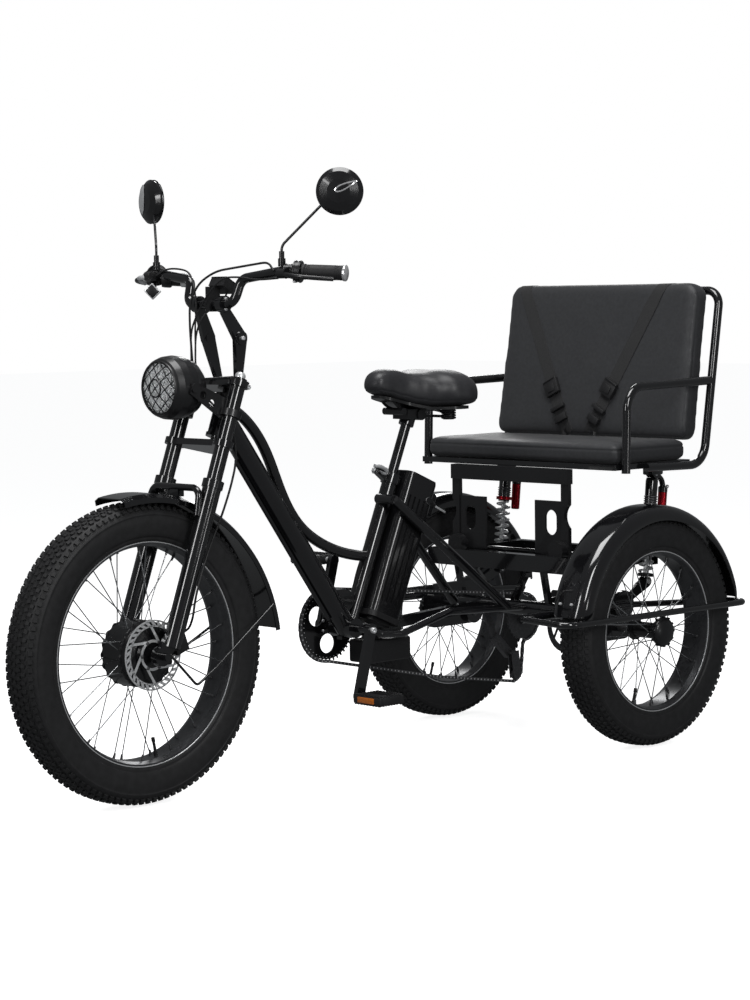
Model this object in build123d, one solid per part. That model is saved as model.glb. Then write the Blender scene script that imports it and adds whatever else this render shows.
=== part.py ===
from build123d import *
from math import cos, pi, radians, sin, tan
import os

# Electric fat-tyre tricycle with a two-seat passenger bench behind the rider.
# Millimetres, +Z up, the front wheel toward -Y and the rider's left hand toward +X.
# The origin is on the ground, at the middle of the footprint.

# ---------------------------------------------------------------- driving dimensions
LENGTH = 2020.0                 # front tyre's tread to the back posts of the bench
FRONT_TYRE_R = 345.0            # 24 x 4 inch tyre, out to the tips of its lugs
REAR_TYRE_R = 293.0             # 20 x 4 inch tyres
FRONT_RIM_R = 254.0             # edge of the rim's flange
REAR_RIM_R = 202.0
TYRE_W = 96.0
LUG_H = 5.0                     # tread lugs above the carcass
LUG_COUNT = 44                  # round each tyre, running across the tread
TREAD_W = 72.0
RIM_W = 74.0
Y_FRONT = -LENGTH / 2 + FRONT_TYRE_R
WHEELBASE = 1351.0
Y_REAR = Y_FRONT + WHEELBASE
X_REAR = 356.0                  # half of the rear track
CARRIER_X = X_REAR - 95         # plates that carry the rear axles

STEER_ANGLE = 70.0              # steering axis above the ground line
STEER_FOOT_Y = -592.0           # where that axis passes the height of the front axle
LEG_AHEAD = 46.0                # fork legs ahead of the steering axis
LEG_X = 84.0
LEG_R = 17.5
LOWER_LEG_R = 21.5
LEG_TOP = 632.0                 # along the steering axis
LOWER_CROWN = 468.0
UPPER_CROWN = 612.0
CROWN_THICK = 15.0
STEERER_R = 13.0
HEAD_LOW = 503.0                # head tube's ends, measured along the steering axis
HEAD_HIGH = 606.0
HEAD_R = 23.0
BAR_R = 11.1                    # 22.2 mm handlebar
BAR_Y = -430.0
BAR_Z = 1124.0
BAR_BENDS = [(80, BAR_Y, BAR_Z), (88, -412, 1180), (215, -402, 1196), (342, -328, 1189)]
RISER_X = 44.0
LAMP_Y = -476.0                 # back of the headlamp
LAMP_Z = 937.0
LAMP_R = 73.0
FENDER_R = 394.0                # front mudguard, about a centre just off the axle
MIRROR_R = 53.0
ROTOR_R = 80.0
ROTOR_X = 56.0                  # middle of the front brake disc
REAR_ROTOR_X = 93.0

CRANK_Y = -18.0                 # bottom bracket
CRANK_Z = 340.0
CRANK_LENGTH = 160.0
CRANK_LEAN = 15.0               # left crank at rest, forward of straight down
CHAINRING_R = 84.0
CHAIN_X = -66.0
COG_R = 57.0                    # largest sprocket, which carries the chain
COG_COUNT = 7

SEAT_LEAN = (0.389, 0.921)      # seat tube's direction as (y, z)
SEAT_FOOT_Y = CRANK_Y + 10
SEAT_TUBE_R = 19.0
SEAT_TUBE_TOP = 392.0           # along the seat tube
SEATPOST_R = 12.5
SEATPOST_TOP = 548.0
SADDLE_LOW = 866.0
SADDLE_NOSE = 905.0             # underside of the nose
SADDLE_HIGH = 962.0
BATTERY_LOW = 55.0              # along the seat tube
BATTERY_H = 357.0
BATTERY_D = 102.0
BATTERY_W = 90.0

PLATFORM_Z = 480.0              # top of the rear platform
AXLE_BEAM_Y = 548.0
AXLE_BEAM_Z = 340.0
BENCH_HALF_W = 333.0
BENCH_FRONT_Y = 598.0
BENCH_REAR_Y = 884.0
BENCH_Z = 698.0                 # underside of the bench's base
BENCH_TUBE_R = 11.0
BENCH_TUBE_X = 345.0
BENCH_TOP = 762.0               # top of the bench cushion, just under the backrest
SHOCK_X = 256.0
SHOCK_FOOT_Y = 800.0
SHOCK_FOOT_Z = 400.0
BACK_LEAN = 9.2                 # backrest cushion, degrees from upright
BACK_Y = 869.0
BACK_Z = 766.0
BACK_H = 410.0
MOUNT_X = 150.0                 # two bolt holes for a carrier or hitch in the rear beam
MOUNT_R = 4.25
GAP = 0.3                       # running clearance between curved faces


# ---------------------------------------------------------------- helpers
def rod(start, end, radius):
    """Straight round bar between two points."""
    axis = Vector(*end) - Vector(*start)
    return Solid.make_cylinder(radius, axis.length, Plane(origin=start, z_dir=axis))


def bent_rod(points, bends, radius):
    """Round bar along straight runs joined by bends of the given radii."""
    path = FilletPolyline(*points, radius=bends)
    return sweep(Plane(origin=path @ 0, z_dir=path % 0) * Circle(radius), path=path)


def smooth_rod(points, radius):
    """Round bar along one smooth curve."""
    path = Spline(*points)
    return sweep(Plane(origin=path @ 0, z_dir=path % 0) * Circle(radius), path=path)


def cable(name, points, radius):
    """Round cable: at each point, the widest bend that its two runs allow."""
    knots = [Vector(*p) for p in points]
    bends = []
    for before, at, after in zip(knots, knots[1:], knots[2:]):
        half_turn = radians((at - before).get_angle(after - at)) / 2
        bends.append(0.45 * min((at - before).length, (after - at).length) / tan(half_turn))
    solid = bent_rod(points, bends, radius)
    length = FilletPolyline(*points, radius=bends).length
    print(name, "length", round(length), "bends", [round(b) for b in bends],
          "volume share", round(solid.volume / (pi * radius ** 2 * length), 3))
    return solid


def bar(start, end, width, height, up=(0, 0, 1)):
    """Rectangular bar between two points; height is measured along up."""
    axis = Vector(*end) - Vector(*start)
    middle = (Vector(*start) + Vector(*end)) * 0.5
    side = Vector(*up).cross(axis)
    return Plane(origin=middle, x_dir=axis, z_dir=axis.cross(side)) * Box(axis.length, width, height)


def link(start, end, first, last, thick, up):
    """Flat forged arm, first wide at its start and last wide at its end, with round ends."""
    axis = Vector(*end) - Vector(*start)
    place = Plane(origin=start, x_dir=axis, z_dir=Vector(*up).cross(axis))
    length = axis.length
    outline = make_face(Polyline(
        (0, -first / 2), (length, -last / 2), (length, last / 2), (0, first / 2), close=True))
    outline = outline + Circle(first / 2) + Pos(length, 0) * Circle(last / 2)
    return place * extrude(outline, thick / 2, both=True)


def block(x0, x1, y0, y1, z0, z1):
    """Box between two corners."""
    return Pos((x0 + x1) / 2, (y0 + y1) / 2, (z0 + z1) / 2) * Box(x1 - x0, y1 - y0, z1 - z0)


def plate(outline, x, thick):
    """Flat plate across X from an outline of (y, z) points."""
    face = make_face(Polyline(*[(x - thick / 2, y, z) for y, z in outline], close=True))
    return extrude(face, thick, dir=(1, 0, 0))


def disc(x0, x1, y, z, radius):
    """Solid disc or shaft along X."""
    return rod((x0, y, z), (x1, y, z), radius)


def ring(x0, x1, y, z, outer, inner):
    """Flat ring along X."""
    return disc(x0, x1, y, z, outer) - disc(x0 - 1, x1 + 1, y, z, inner)


def turned(profile):
    """Body of revolution about X from an outline of (x, radius) points."""
    face = make_face(Polyline(*[(x, 0, r) for x, r in profile], close=True))
    return revolve(face, Axis.X)


def mirrored(shape):
    """The same piece on the other side of the tricycle."""
    return mirror(shape, Plane.YZ)


def both_sides(shape):
    """The piece and its mirror image as one node."""
    return Compound(children=[*shape.solids(), *mirrored(shape).solids()])


def steer(x, ahead, along):
    """Point given across, ahead of and along the steering axis."""
    a = radians(STEER_ANGLE)
    y = STEER_FOOT_Y - ahead * sin(a) + along * cos(a)
    return (x, y, FRONT_TYRE_R + ahead * cos(a) + along * sin(a))


def seat(x, back, along):
    """Point given across, behind and along the seat tube from the crank."""
    sy, sz = SEAT_LEAN
    return (x, SEAT_FOOT_Y + back * sz + along * sy, CRANK_Z - back * sy + along * sz)


STEER_DIR = Vector(0, cos(radians(STEER_ANGLE)), sin(radians(STEER_ANGLE)))
SEAT_DIR = Vector(0, *SEAT_LEAN)


# ---------------------------------------------------------------- wheels
def tyre(radius, rim_r):
    """Fat tyre about the origin: a rounded carcass ringed by lugs that run across the tread."""
    half, floor = TYRE_W / 2, radius - LUG_H - 10
    side = [(RIM_W / 2, rim_r - 1), (half, (rim_r + floor) / 2), (half - 2, floor - 8), (TREAD_W / 2, floor)]
    carcass = turned([(-x, r) for x, r in side] + side[::-1])
    outline = []
    for n in range(LUG_COUNT):
        for share, r in ((0.0, radius - LUG_H), (0.1, radius), (0.45, radius), (0.55, radius - LUG_H)):
            a = 2 * pi * (n + share) / LUG_COUNT
            outline.append((0, r * cos(a), r * sin(a)))
    face = make_face(Polyline(*outline, close=True))
    tread = extrude(face, amount=TREAD_W / 2, both=True, dir=(1, 0, 0))
    return carcass + (tread - turned([(-half, 0), (-half, floor - 4), (half, floor - 4), (half, 0)]))


def rim(rim_r):
    """Wide single-wall rim with a flange on each side."""
    half = RIM_W / 2
    return turned([
        (-half, rim_r - 1.2), (-half, rim_r - 7), (-half + 14, rim_r - 12),
        (half - 14, rim_r - 12), (half, rim_r - 7), (half, rim_r - 1.2),
    ])


def spokes(hub_r, rim_r, hub_half, rim_half, count, cross):
    """Crossed steel spokes from both hub flanges to the rim."""
    made = []
    for n in range(count):
        side = 1 if n % 2 else -1
        lean = cross if (n // 2) % 2 else -cross
        a = 2 * pi * n / count
        b = a + radians(lean)
        foot = (side * hub_half, (hub_r - 2) * cos(b), (hub_r - 2) * sin(b))
        tip = (side * rim_half, (rim_r - 12.6) * cos(a), (rim_r - 12.6) * sin(a))
        made.append(rod(foot, tip, 1.3))
    return made


def rotor(x0, x1, hole):
    """Brake disc about the origin: a braking track on six swept arms."""
    made = ring(x0, x1, 0, 0, ROTOR_R, ROTOR_R - 16) + ring(x0, x1, 0, 0, 36, hole)
    middle = (x0 + x1) / 2
    for n in range(6):
        a = radians(60 * n)
        b = radians(60 * n + 34)
        foot = (middle, 33 * cos(a), 33 * sin(a))
        tip = (middle, (ROTOR_R - 14) * cos(b), (ROTOR_R - 14) * sin(b))
        made = made + bar(foot, tip, 7, x1 - x0, up=(1, 0, 0))
    return made


def front_wheel(nodes):
    """Front wheel with its hub motor, brake rotor and axle."""
    place = Pos(0, Y_FRONT, FRONT_TYRE_R)
    motor = turned([
        (-42, 0), (-42, 30), (-38, 62), (-30, 76), (30, 76), (38, 66), (42, 34),
        (ROTOR_X - 1, 30), (ROTOR_X - 1, 0),
    ])
    nodes["front_tyre"] = place * tyre(FRONT_TYRE_R, FRONT_RIM_R)
    nodes["front_rim"] = place * rim(FRONT_RIM_R)
    nodes["front_hub_motor"] = place * (motor + spokes(76, FRONT_RIM_R, 26, 12, 36, 18))
    nodes["front_rotor"] = place * rotor(ROTOR_X - 1, ROTOR_X + 1, 30)


def rear_wheel(nodes, side, node):
    """One rear wheel: tyre, rim, and hub with spokes and round cap."""
    place = Pos(side * X_REAR, Y_REAR, REAR_TYRE_R)
    nodes[f"rear_tyre_{node}"] = place * tyre(REAR_TYRE_R, REAR_RIM_R)
    nodes[f"rear_rim_{node}"] = place * rim(REAR_RIM_R)
    hub = turned([
        (-41, 0), (-41, 27), (-34, 27), (-31, 20), (31, 20), (34, 27), (41, 27), (44, 33),
        (56, 33), (64, 26), (68, 14), (69, 0),
    ])
    hub = hub + spokes(27, REAR_RIM_R, 37, 12, 36, 40)
    if side < 0:
        hub = mirrored(hub)
    nodes[f"rear_hub_{node}"] = place * hub


def rear_axles(nodes):
    """Driven left shaft with its sprockets and brake disc, and the right wheel's axle."""
    shaft = disc(CHAIN_X - 40, X_REAR - 41, Y_REAR, REAR_TYRE_R, 11)
    for n in range(COG_COUNT):
        x = CHAIN_X - 5 * n
        shaft = shaft + disc(x - 1, x + 1, Y_REAR, REAR_TYRE_R, COG_R - 5 * n)
    shaft = shaft + disc(CHAIN_X - 34, CHAIN_X + 8, Y_REAR, REAR_TYRE_R, 20)
    brake = Pos(0, Y_REAR, REAR_TYRE_R) * rotor(REAR_ROTOR_X - 1, REAR_ROTOR_X + 1, 11)
    nodes["rear_shaft"] = shaft + brake + ring(86, 92, Y_REAR, REAR_TYRE_R, 36, 11)
    nodes["rear_axle_right"] = disc(-X_REAR + 41, 23 - CARRIER_X, Y_REAR, REAR_TYRE_R, 11)


# ---------------------------------------------------------------- fork and steering
def leg_fill(side, low, high, radius):
    """Space along one fork leg, between two heights of the steering axis."""
    return rod(steer(side * LEG_X, LEG_AHEAD, low), steer(side * LEG_X, LEG_AHEAD, high), radius)


def fork_leg(nodes, side, node):
    """Telescopic leg: upper tube, seal collar, lower leg and axle lug."""
    x = side * LEG_X
    leg = leg_fill(side, 330, LEG_TOP, LEG_R) + leg_fill(side, 0, 372, LOWER_LEG_R)
    leg = leg + leg_fill(side, LEG_TOP, LEG_TOP + 5, 9) + leg_fill(side, 372, 390, LOWER_LEG_R + 3)
    leg = leg + disc(x - 9, x + 9, Y_FRONT, FRONT_TYRE_R, 22)
    leg = leg + disc(x - side * 2, x + side * 26, Y_FRONT, FRONT_TYRE_R, 9)
    leg = leg + bar(steer(x, LEG_AHEAD, 30), (x, Y_FRONT, FRONT_TYRE_R), 36, 14, up=(1, 0, 0))
    nodes[f"fork_leg_{node}"] = leg


def crown(low):
    """One forged crown plate that clamps both legs and the steerer."""
    place = Plane(steer(0, 0, low), x_dir=(1, 0, 0), z_dir=STEER_DIR)
    web = make_face(Polyline(
        (-LEG_X, -LEG_AHEAD - 14), (LEG_X, -LEG_AHEAD - 14), (LEG_X, -LEG_AHEAD + 16),
        (24, 14), (-24, 14), (-LEG_X, -LEG_AHEAD + 16), close=True))
    web = web + Circle(26) + Pos(LEG_X, -LEG_AHEAD) * Circle(24) + Pos(-LEG_X, -LEG_AHEAD) * Circle(24)
    solid = place * extrude(web, CROWN_THICK)
    for side in (-1, 1):
        solid = solid - leg_fill(side, low - 10, low + 30, LEG_R)
    return solid


def fork(nodes):
    """Fork legs, crowns with the steerer, and the arch over the tyre."""
    for side, node in ((1, "left"), (-1, "right")):
        fork_leg(nodes, side, node)
    steerer = rod(steer(0, 0, LOWER_CROWN + CROWN_THICK), steer(0, 0, UPPER_CROWN), STEERER_R)
    bolt = rod(steer(0, 0, UPPER_CROWN + CROWN_THICK), steer(0, 0, UPPER_CROWN + CROWN_THICK + 8), 15)
    nodes["fork_crowns"] = crown(LOWER_CROWN) + crown(UPPER_CROWN) + steerer + bolt
    foot, bend = steer(LEG_X, LEG_AHEAD + 23, 302), steer(LEG_X, LEG_AHEAD + 34, 362)
    arch = bent_rod([(-foot[0], *foot[1:]), (-bend[0], *bend[1:]), bend, foot], [24, 24], 8)
    nodes["fork_arch"] = arch + block(-14, 14, bend[1] - 6, bend[1] + 12, bend[2] - 22, bend[2])


def risers():
    """Two cranked risers between the upper crown and the handlebar."""
    foot, knee = (33, -380, 943), (56, -392, 1046)
    head = (RISER_X, BAR_Y + 6, BAR_Z - 18)
    up = (0, -1, 0)
    arm = link(foot, knee, 15, 34, 13, up) + link(knee, head, 34, 23, 13, up)
    arm = arm + disc(knee[0] - 9, knee[0] + 9, knee[1], knee[2], 12)
    arm = arm + disc(RISER_X - 9, RISER_X + 9, BAR_Y, BAR_Z, 19)
    return both_sides(arm - handlebar() - crown(UPPER_CROWN))


def handlebar():
    """Rising, swept-back handlebar."""
    points = [(-x, y, z) for x, y, z in reversed(BAR_BENDS)] + BAR_BENDS
    return bent_rod(points, [90, 24, 26, 26, 24, 90], BAR_R)


def on_bar(side, share):
    """Point on the handlebar's swept end, as a share of its length."""
    (x0, y0, z0), (x1, y1, z1) = BAR_BENDS[-2:]
    return (side * (x0 + (x1 - x0) * share), y0 + (y1 - y0) * share, z0 + (z1 - z0) * share)


def brake_lever(side, reach):
    """Clamp, cylinder and two-finger blade in front of one grip, as far out as reach."""
    made = rod(on_bar(side, 0.04), on_bar(side, 0.17), 16) + rod(on_bar(side, 0.2), on_bar(side, 0.31), 24)
    perch = (side * 232, -418, 1190)
    made = made + link(on_bar(side, 0.1), perch, 26, 22, 22, (0, 0, 1))
    made = made + smooth_rod([perch, (side * 262, -424, 1186), (side * reach, -368, 1176)], 5)
    return made


def mirror_on(foot_x, knee_z, tip, head_x, turn):
    """Round mirror on a cranked stalk with a rubber boot; turn faces it to the rider."""
    stalk = bent_rod([(foot_x, -405, 1222), (foot_x, -405, knee_z), tip], [25], 3)
    boot = rod((foot_x, -405, 1206), (foot_x, -405, 1224), 8.5)
    boot = boot + rod((foot_x, -405, 1224), (foot_x, -405, 1240), 6)
    shell = turned([(-9, 0), (-9, MIRROR_R - 3), (0, MIRROR_R), (9, MIRROR_R - 9), (15, 26), (17, 0)])
    head = Pos(head_x, -334, 1370) * (Rot(0, 0, -90 + turn) * shell)
    return head + stalk + boot


def cockpit(nodes):
    """Handlebar, risers, grips, levers, bell, display and mirrors."""
    nodes["handlebar"] = handlebar()
    nodes["bar_risers"] = risers()
    grip = rod(on_bar(1, 0.33), on_bar(1, 0.97), 17) + rod(on_bar(1, 0.97), on_bar(1, 1.03), 18.5)
    nodes["grips"] = both_sides(grip - nodes["handlebar"])
    left, right = (brake_lever(side, reach) - nodes["handlebar"] for side, reach in ((1, 344), (-1, 312)))
    nodes["brake_levers"] = Compound(children=[*left.solids(), *right.solids()])
    nodes["mirrors"] = Compound(children=[
        *mirror_on(217, 1252, (296, -348, 1346), 332, 38).solids(),
        *mirror_on(-222, 1262, (-297, -348, 1336), -327, -12).solids(),
    ])
    nodes["bell"] = rod((-199, -402, 1184), (-155, -358, 1180), 15) - nodes["handlebar"]
    screen = Plane(origin=(20, -408, 1166), x_dir=(1, 0, 0), z_dir=(0, 0.5, 0.87)) * Box(52, 40, 22)
    screen = screen + block(2, 14, BAR_Y - 17, BAR_Y + 17, BAR_Z - 17, BAR_Z + 40)
    nodes["display"] = screen - disc(0, 60, BAR_Y, BAR_Z, BAR_R) - nodes["handlebar"]


def lamp(nodes):
    """Round headlamp on two perforated side plates clamped to the fork legs."""
    face = 112.0
    place = Plane(origin=(0, LAMP_Y, LAMP_Z), x_dir=(0, -1, 0), z_dir=(0, 0, 1))
    shell = turned([
        (0, 0), (0, 28), (10, 46), (28, 62), (50, 70), (72, LAMP_R), (92, 71), (106, 66), (face, 60),
        (face - 8, 57), (face - 8, 0),
    ])
    lens = turned([(face - 7.6, 0), (face - 7.6, 56.5), (face - 4, 56.5), (face, 30), (face + 1, 0)])
    arm = plate([
        (-560, 925), (-556, 948), (-510, 935), (-440, 905), (-446, 862), (-466, 862),
    ], LAMP_R + 2.5, 4)
    for y, z, radius in ((-523, 921, 9), (-497, 901, 9)):
        arm = arm - disc(LAMP_R - 5, LAMP_R + 10, y, z, radius)
    arm = arm + disc(LAMP_R - 6, LAMP_R + 9, -548, LAMP_Z, 10) + leg_fill(1, 540, 556, 25)
    arm = arm + rod((LAMP_R - 8, -508, 956), (LAMP_R - 3, -425, 958), 3)
    arm = arm - leg_fill(1, 530, LEG_TOP + 10, LEG_R) - crown(UPPER_CROWN)
    nodes["headlamp"] = place * shell + arm + mirrored(arm)
    nodes["headlamp_lens"] = place * lens


def fender(x, y, z, radius, width, first, last, skirt=20.0, thick=2.5):
    """Mudguard shell: a crowned strip turned about (y, z) between two angles from -Y."""
    half = width / 2
    outline = [
        (-half, radius - skirt), (-half, radius - 8), (-half + 14, radius),
        (half - 14, radius), (half, radius - 8), (half, radius - skirt),
        (half - thick, radius - skirt), (half - thick, radius - 9), (half - 15, radius - thick),
        (-half + 15, radius - thick), (-half + thick, radius - 9), (-half + thick, radius - skirt),
    ]
    face = make_face(Polyline(*[(u, -r, 0) for u, r in outline], close=True))
    shell = revolve(Rot(-first, 0, 0) * face, Axis((0, 0, 0), (-1, 0, 0)), last - first)
    return Pos(x, y, z) * shell


def front_fender():
    """Front mudguard with one V-shaped wire stay on each side."""
    stay = bent_rod(
        [(92, -645, 347), (90, -567, 269), (88, -507, 303), (53, -300, 425)], [12, 60], 3)
    stay = stay - nodes["fork_leg_left"]
    return fender(0, Y_FRONT + 4, FRONT_TYRE_R - 34, FENDER_R, 106, 79, 172) + stay + mirrored(stay)


def caliper(x, y, z, turn):
    """Two-piston brake caliper about a disc at x; turn leans it round the axle."""
    body = Box(26, 36, 58) + Pos(9, 0, 0) * rod((-2, 0, 0), (8, 0, 0), 15)
    body = body - Box(5, 60, 80)
    bridge = Pos(0, 15, 0) * Box(26, 6, 58)
    return Pos(x, y, z) * (Rot(turn, 0, 0) * (body + bridge))


# ---------------------------------------------------------------- main frame
def head_tube():
    """Head tube with its bearing cups, bored for the steerer."""
    tube = rod(steer(0, 0, HEAD_LOW), steer(0, 0, HEAD_HIGH), HEAD_R)
    for low in (HEAD_LOW, HEAD_HIGH - 8):
        tube = tube + rod(steer(0, 0, low), steer(0, 0, low + 8), HEAD_R + 3)
    return tube - rod(steer(0, 0, HEAD_LOW - 5), steer(0, 0, HEAD_HIGH + 5), STEERER_R + GAP)


def crank_shell():
    """Bottom bracket shell across the frame, bored for the crank's spindle."""
    return ring(-36, 36, CRANK_Y, CRANK_Z, 24, 9 + GAP)


SHELL_FILL = disc(-60, 60, CRANK_Y, CRANK_Z, 24)
SEAT_FILL = rod(seat(0, 0, 0), seat(0, 0, SEAT_TUBE_TOP), SEAT_TUBE_R)


def frame_tubes(nodes):
    """Head, down, top and seat tubes, mitred into each other."""
    head_fill = rod(steer(0, 0, HEAD_LOW - 5), steer(0, 0, HEAD_HIGH + 5), HEAD_R)
    down = rod((0, -394, 857), (0, -17, 338), 26) - head_fill - SHELL_FILL
    conduit = rod((0, -360, 758), (0, -74, 364), 5.5) - down
    seat_tube = SEAT_FILL + rod(seat(0, 0, SEAT_TUBE_TOP - 24), seat(0, 0, SEAT_TUBE_TOP), 23)
    clamp = link(seat(0, -24, 380), seat(0, -46, 386), 16, 16, 22, (1, 0, 0))
    lever = rod(seat(-14, -44, 386), seat(24, -44, 386), 5) + rod(seat(24, -44, 386), seat(26, -86, 384), 4)
    seat_tube = seat_tube + clamp + lever - SHELL_FILL - down
    gusset = plate([(-92, 436), (-36, 436), (-8, 426), (0, 400), (-50, 360)], 0, 34)
    gusset = gusset - down - SEAT_FILL - SHELL_FILL
    top = smooth_rod(
        [(0, -385, 888), (0, -338, 861), (0, -276, 790), (0, -214, 663), (0, -161, 593),
         (0, -97, 550), (0, -32, 524), (0, 50, 508)], 13,
    )
    nodes["head_tube"] = head_tube()
    nodes["down_tube"] = down + conduit
    nodes["seat_tube"] = seat_tube + crank_shell() + gusset
    nodes["top_tube"] = top - head_fill - down - SEAT_FILL


def saddle_outline():
    """Saddle from above: narrow nose in front, broad at the rear."""
    half = [(0, 68), (30, 82), (44, 150), (84, 216), (122, 262), (130, 302), (108, 342), (60, 351), (0, 350)]
    return make_face(Spline(*half, *[(-x, y) for x, y in reversed(half[:-1])]))


def saddle(nodes):
    """Seatpost, saddle pan with clamp, rails and coil springs, and the plain saddle cushion."""
    post = rod(seat(0, 0, SEAT_TUBE_TOP), seat(0, 0, SEATPOST_TOP), SEATPOST_R)
    post = post + rod(seat(0, 0, SEATPOST_TOP - 26), seat(0, 0, SEATPOST_TOP), 19)
    nodes["seatpost"] = post
    under = [(60, SADDLE_NOSE), (150, SADDLE_LOW + 17), (216, SADDLE_LOW)]
    full = Pos(0, 0, SADDLE_LOW) * extrude(saddle_outline(), SADDLE_HIGH - SADDLE_LOW)
    low = plate([*under, (216, SADDLE_LOW - 9), (60, SADDLE_LOW - 9)], 0, 300)
    above = SADDLE_HIGH + 9
    round_nose = plate([(60, 930), (74, 948), (104, SADDLE_HIGH), (104, above), (60, above)], 0, 300)
    tail = [(318, SADDLE_HIGH), (340, 948), (352, 918), (360, 918), (360, above), (318, above)]
    round_tail = plate(tail, 0, 300)
    nodes["saddle_cushion"] = full - low - round_nose - round_tail
    lower = [(y, z - 7) for y, z in under]
    pan = plate(lower + [(360, SADDLE_LOW - 7), (360, SADDLE_LOW)] + under[::-1], 0, 300)
    inset = Pos(0, 32, SADDLE_LOW - 20) * extrude(scale(saddle_outline(), 0.85), 60)
    clamp = block(-26, 26, 176, 238, 836, 860) + disc(-34, 34, 156, 856, 9) + disc(-30, 30, 222, 846, 14)
    made = (pan & inset) + clamp
    for x in (-20, 20):
        made = made + smooth_rod([(x, 132, 884), (x, 151, 868), (x, 198, 858), (x * 2, 285, 850)], 3.5)
    for side in (-1, 1):
        for n in range(5):
            made = made + Pos(side * 52, 293, 836 + 6 * n) * Torus(16, 2.6)
        made = made + rod((side * 52, 293, 832), (side * 52, 293, 862), 14)
    made = made + bar((-56, 282, 840), (56, 282, 840), 16, 6)
    nodes["saddle_base"] = made - post


def battery(nodes):
    """Ribbed battery case behind the seat tube, its cradle, and the control box."""
    place = Plane(origin=seat(0, 20 + BATTERY_D / 2, BATTERY_LOW), x_dir=(1, 0, 0), z_dir=SEAT_DIR)
    low = (Align.CENTER, Align.CENTER, Align.MIN)
    case = Box(BATTERY_W, BATTERY_D, BATTERY_H, align=low)
    case = chamfer(case.faces().sort_by(Axis.Z)[-1].edges().sort_by(Axis.Y)[-1], 14)
    case = fillet(case.edges().filter_by(Axis.Z), 18)
    for y in range(-34, 36, 17):
        for x in (-BATTERY_W / 2, BATTERY_W / 2):
            case = case - Pos(x, y, 30) * Box(6, 6, 270, align=low)
    handle = Pos(0, BATTERY_D / 2 + 6, BATTERY_H - 84) * fillet(Box(66, 26, 62, align=low).edges(), 8)
    lock = rod((BATTERY_W / 2 - 2, 30, BATTERY_H - 50), (BATTERY_W / 2 + 3, 30, BATTERY_H - 50), 9)
    tray = fillet(Box(96, BATTERY_D + 6, 14, align=low).edges().filter_by(Axis.Z), 18)
    keel = Pos(0, 0, -22) * fillet(Box(60, BATTERY_D - 20, 22, align=low).edges().filter_by(Axis.Z), 12)
    nodes["battery_case"] = place * (case + handle + lock)
    nodes["battery_cradle"] = place * (Pos(0, 0, -14) * tray + keel) - SEAT_FILL
    nodes["control_box"] = fillet(block(-37, 37, 25, 168, 248, 304).edges(), 6)


def lower_frame(nodes):
    """Stays between the bottom bracket, the seat tube and the rear axle."""
    right = bar((-50, 6, 316), (-50, 535, 345), 20, 26) - SHELL_FILL
    left = bent_rod(
        [(30, 4, 338), (54, 50, 322), (56, 115, 315), (74, 263, 357), (80, 535, 345)],
        [20, 40, 60], 9) - SHELL_FILL
    nodes["chainstays"] = Compound(children=[*right.solids(), *left.solids()])
    near = rod((57, 95, 645), (82, 467, 352), 12) + disc(0, 57, 95, 645, 12)
    far = rod((-60, 176, 648), (-105, 467, 352), 12) + rod((-60, 176, 648), (0, 122, 648), 9)
    stays = near + far - SEAT_FILL
    nodes["diagonal_stays"] = stays


def rear_platform(nodes):
    """Welded tube platform over the rear axle, and the axle beam with its carriers."""
    top = PLATFORM_Z
    made = block(-245, 245, 515, 545, top - 42, top) + block(-245, 245, 840, 866, top - 42, top - 4)
    for side in (-1, 1):
        x = side * 222
        made = made + block(x - 13, x + 13, 545, 840, top - 38, top - 4)
        made = made + bar((side * 96, 530, top - 42), (side * 30, AXLE_BEAM_Y, AXLE_BEAM_Z + 16), 14, 14)
        made = made + bar((side * 150, 530, top - 42), (side * 150, AXLE_BEAM_Y, AXLE_BEAM_Z + 16), 14, 14)
        made = made - rod((side * MOUNT_X, 830, top - 23), (side * MOUNT_X, 876, top - 23), MOUNT_R)
    made = made + rod((-209, 690, top - 14), (209, 690, top - 14), 9)
    inner, outer = CARRIER_X - 7, CARRIER_X + 7
    beam = disc(-outer, outer, AXLE_BEAM_Y, AXLE_BEAM_Z, 20)
    carrier = fillet(block(inner, outer, 520, Y_REAR + 47, 262, 378).edges().filter_by(Axis.X), 30)
    carrier = carrier + disc(inner - 14, inner, Y_REAR, REAR_TYRE_R, 30)
    carrier = carrier + disc(outer, outer + 10, Y_REAR + 7, 350, 37)
    shock_foot = (CARRIER_X, SHOCK_FOOT_Y, SHOCK_FOOT_Z)
    carrier = carrier + bar((CARRIER_X, Y_REAR + 5, 352), shock_foot, 26, 14, up=(1, 0, 0))
    carrier = carrier - disc(inner - 20, outer + 20, Y_REAR, REAR_TYRE_R, 11 + GAP)
    nodes["rear_platform"] = made - beam
    nodes["axle_beam"] = beam + carrier + mirrored(carrier)


def bench_support():
    """Inverted U on the platform, with slotted plates and rubber feet, under the bench."""
    low, high = PLATFORM_Z, BENCH_Z
    made = block(-202, 202, 560, 584, high - 38, high)
    side = block(177.5, 202.5, 566, 578, low, high - 38) + block(86, 178, 569, 575, low, 616)
    slot = block(122, 160, 560, 590, 548, 574) + rod((141, 560, 548), (141, 590, 548), 19)
    slot = slot + rod((141, 560, 574), (141, 590, 574), 19)
    side = side - slot - rod((229, 560, 578), (229, 590, 578), 40)
    side = side + rod((176, 545, low + 12), (176, 569, low + 12), 24)
    return made + side + mirrored(side)


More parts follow.
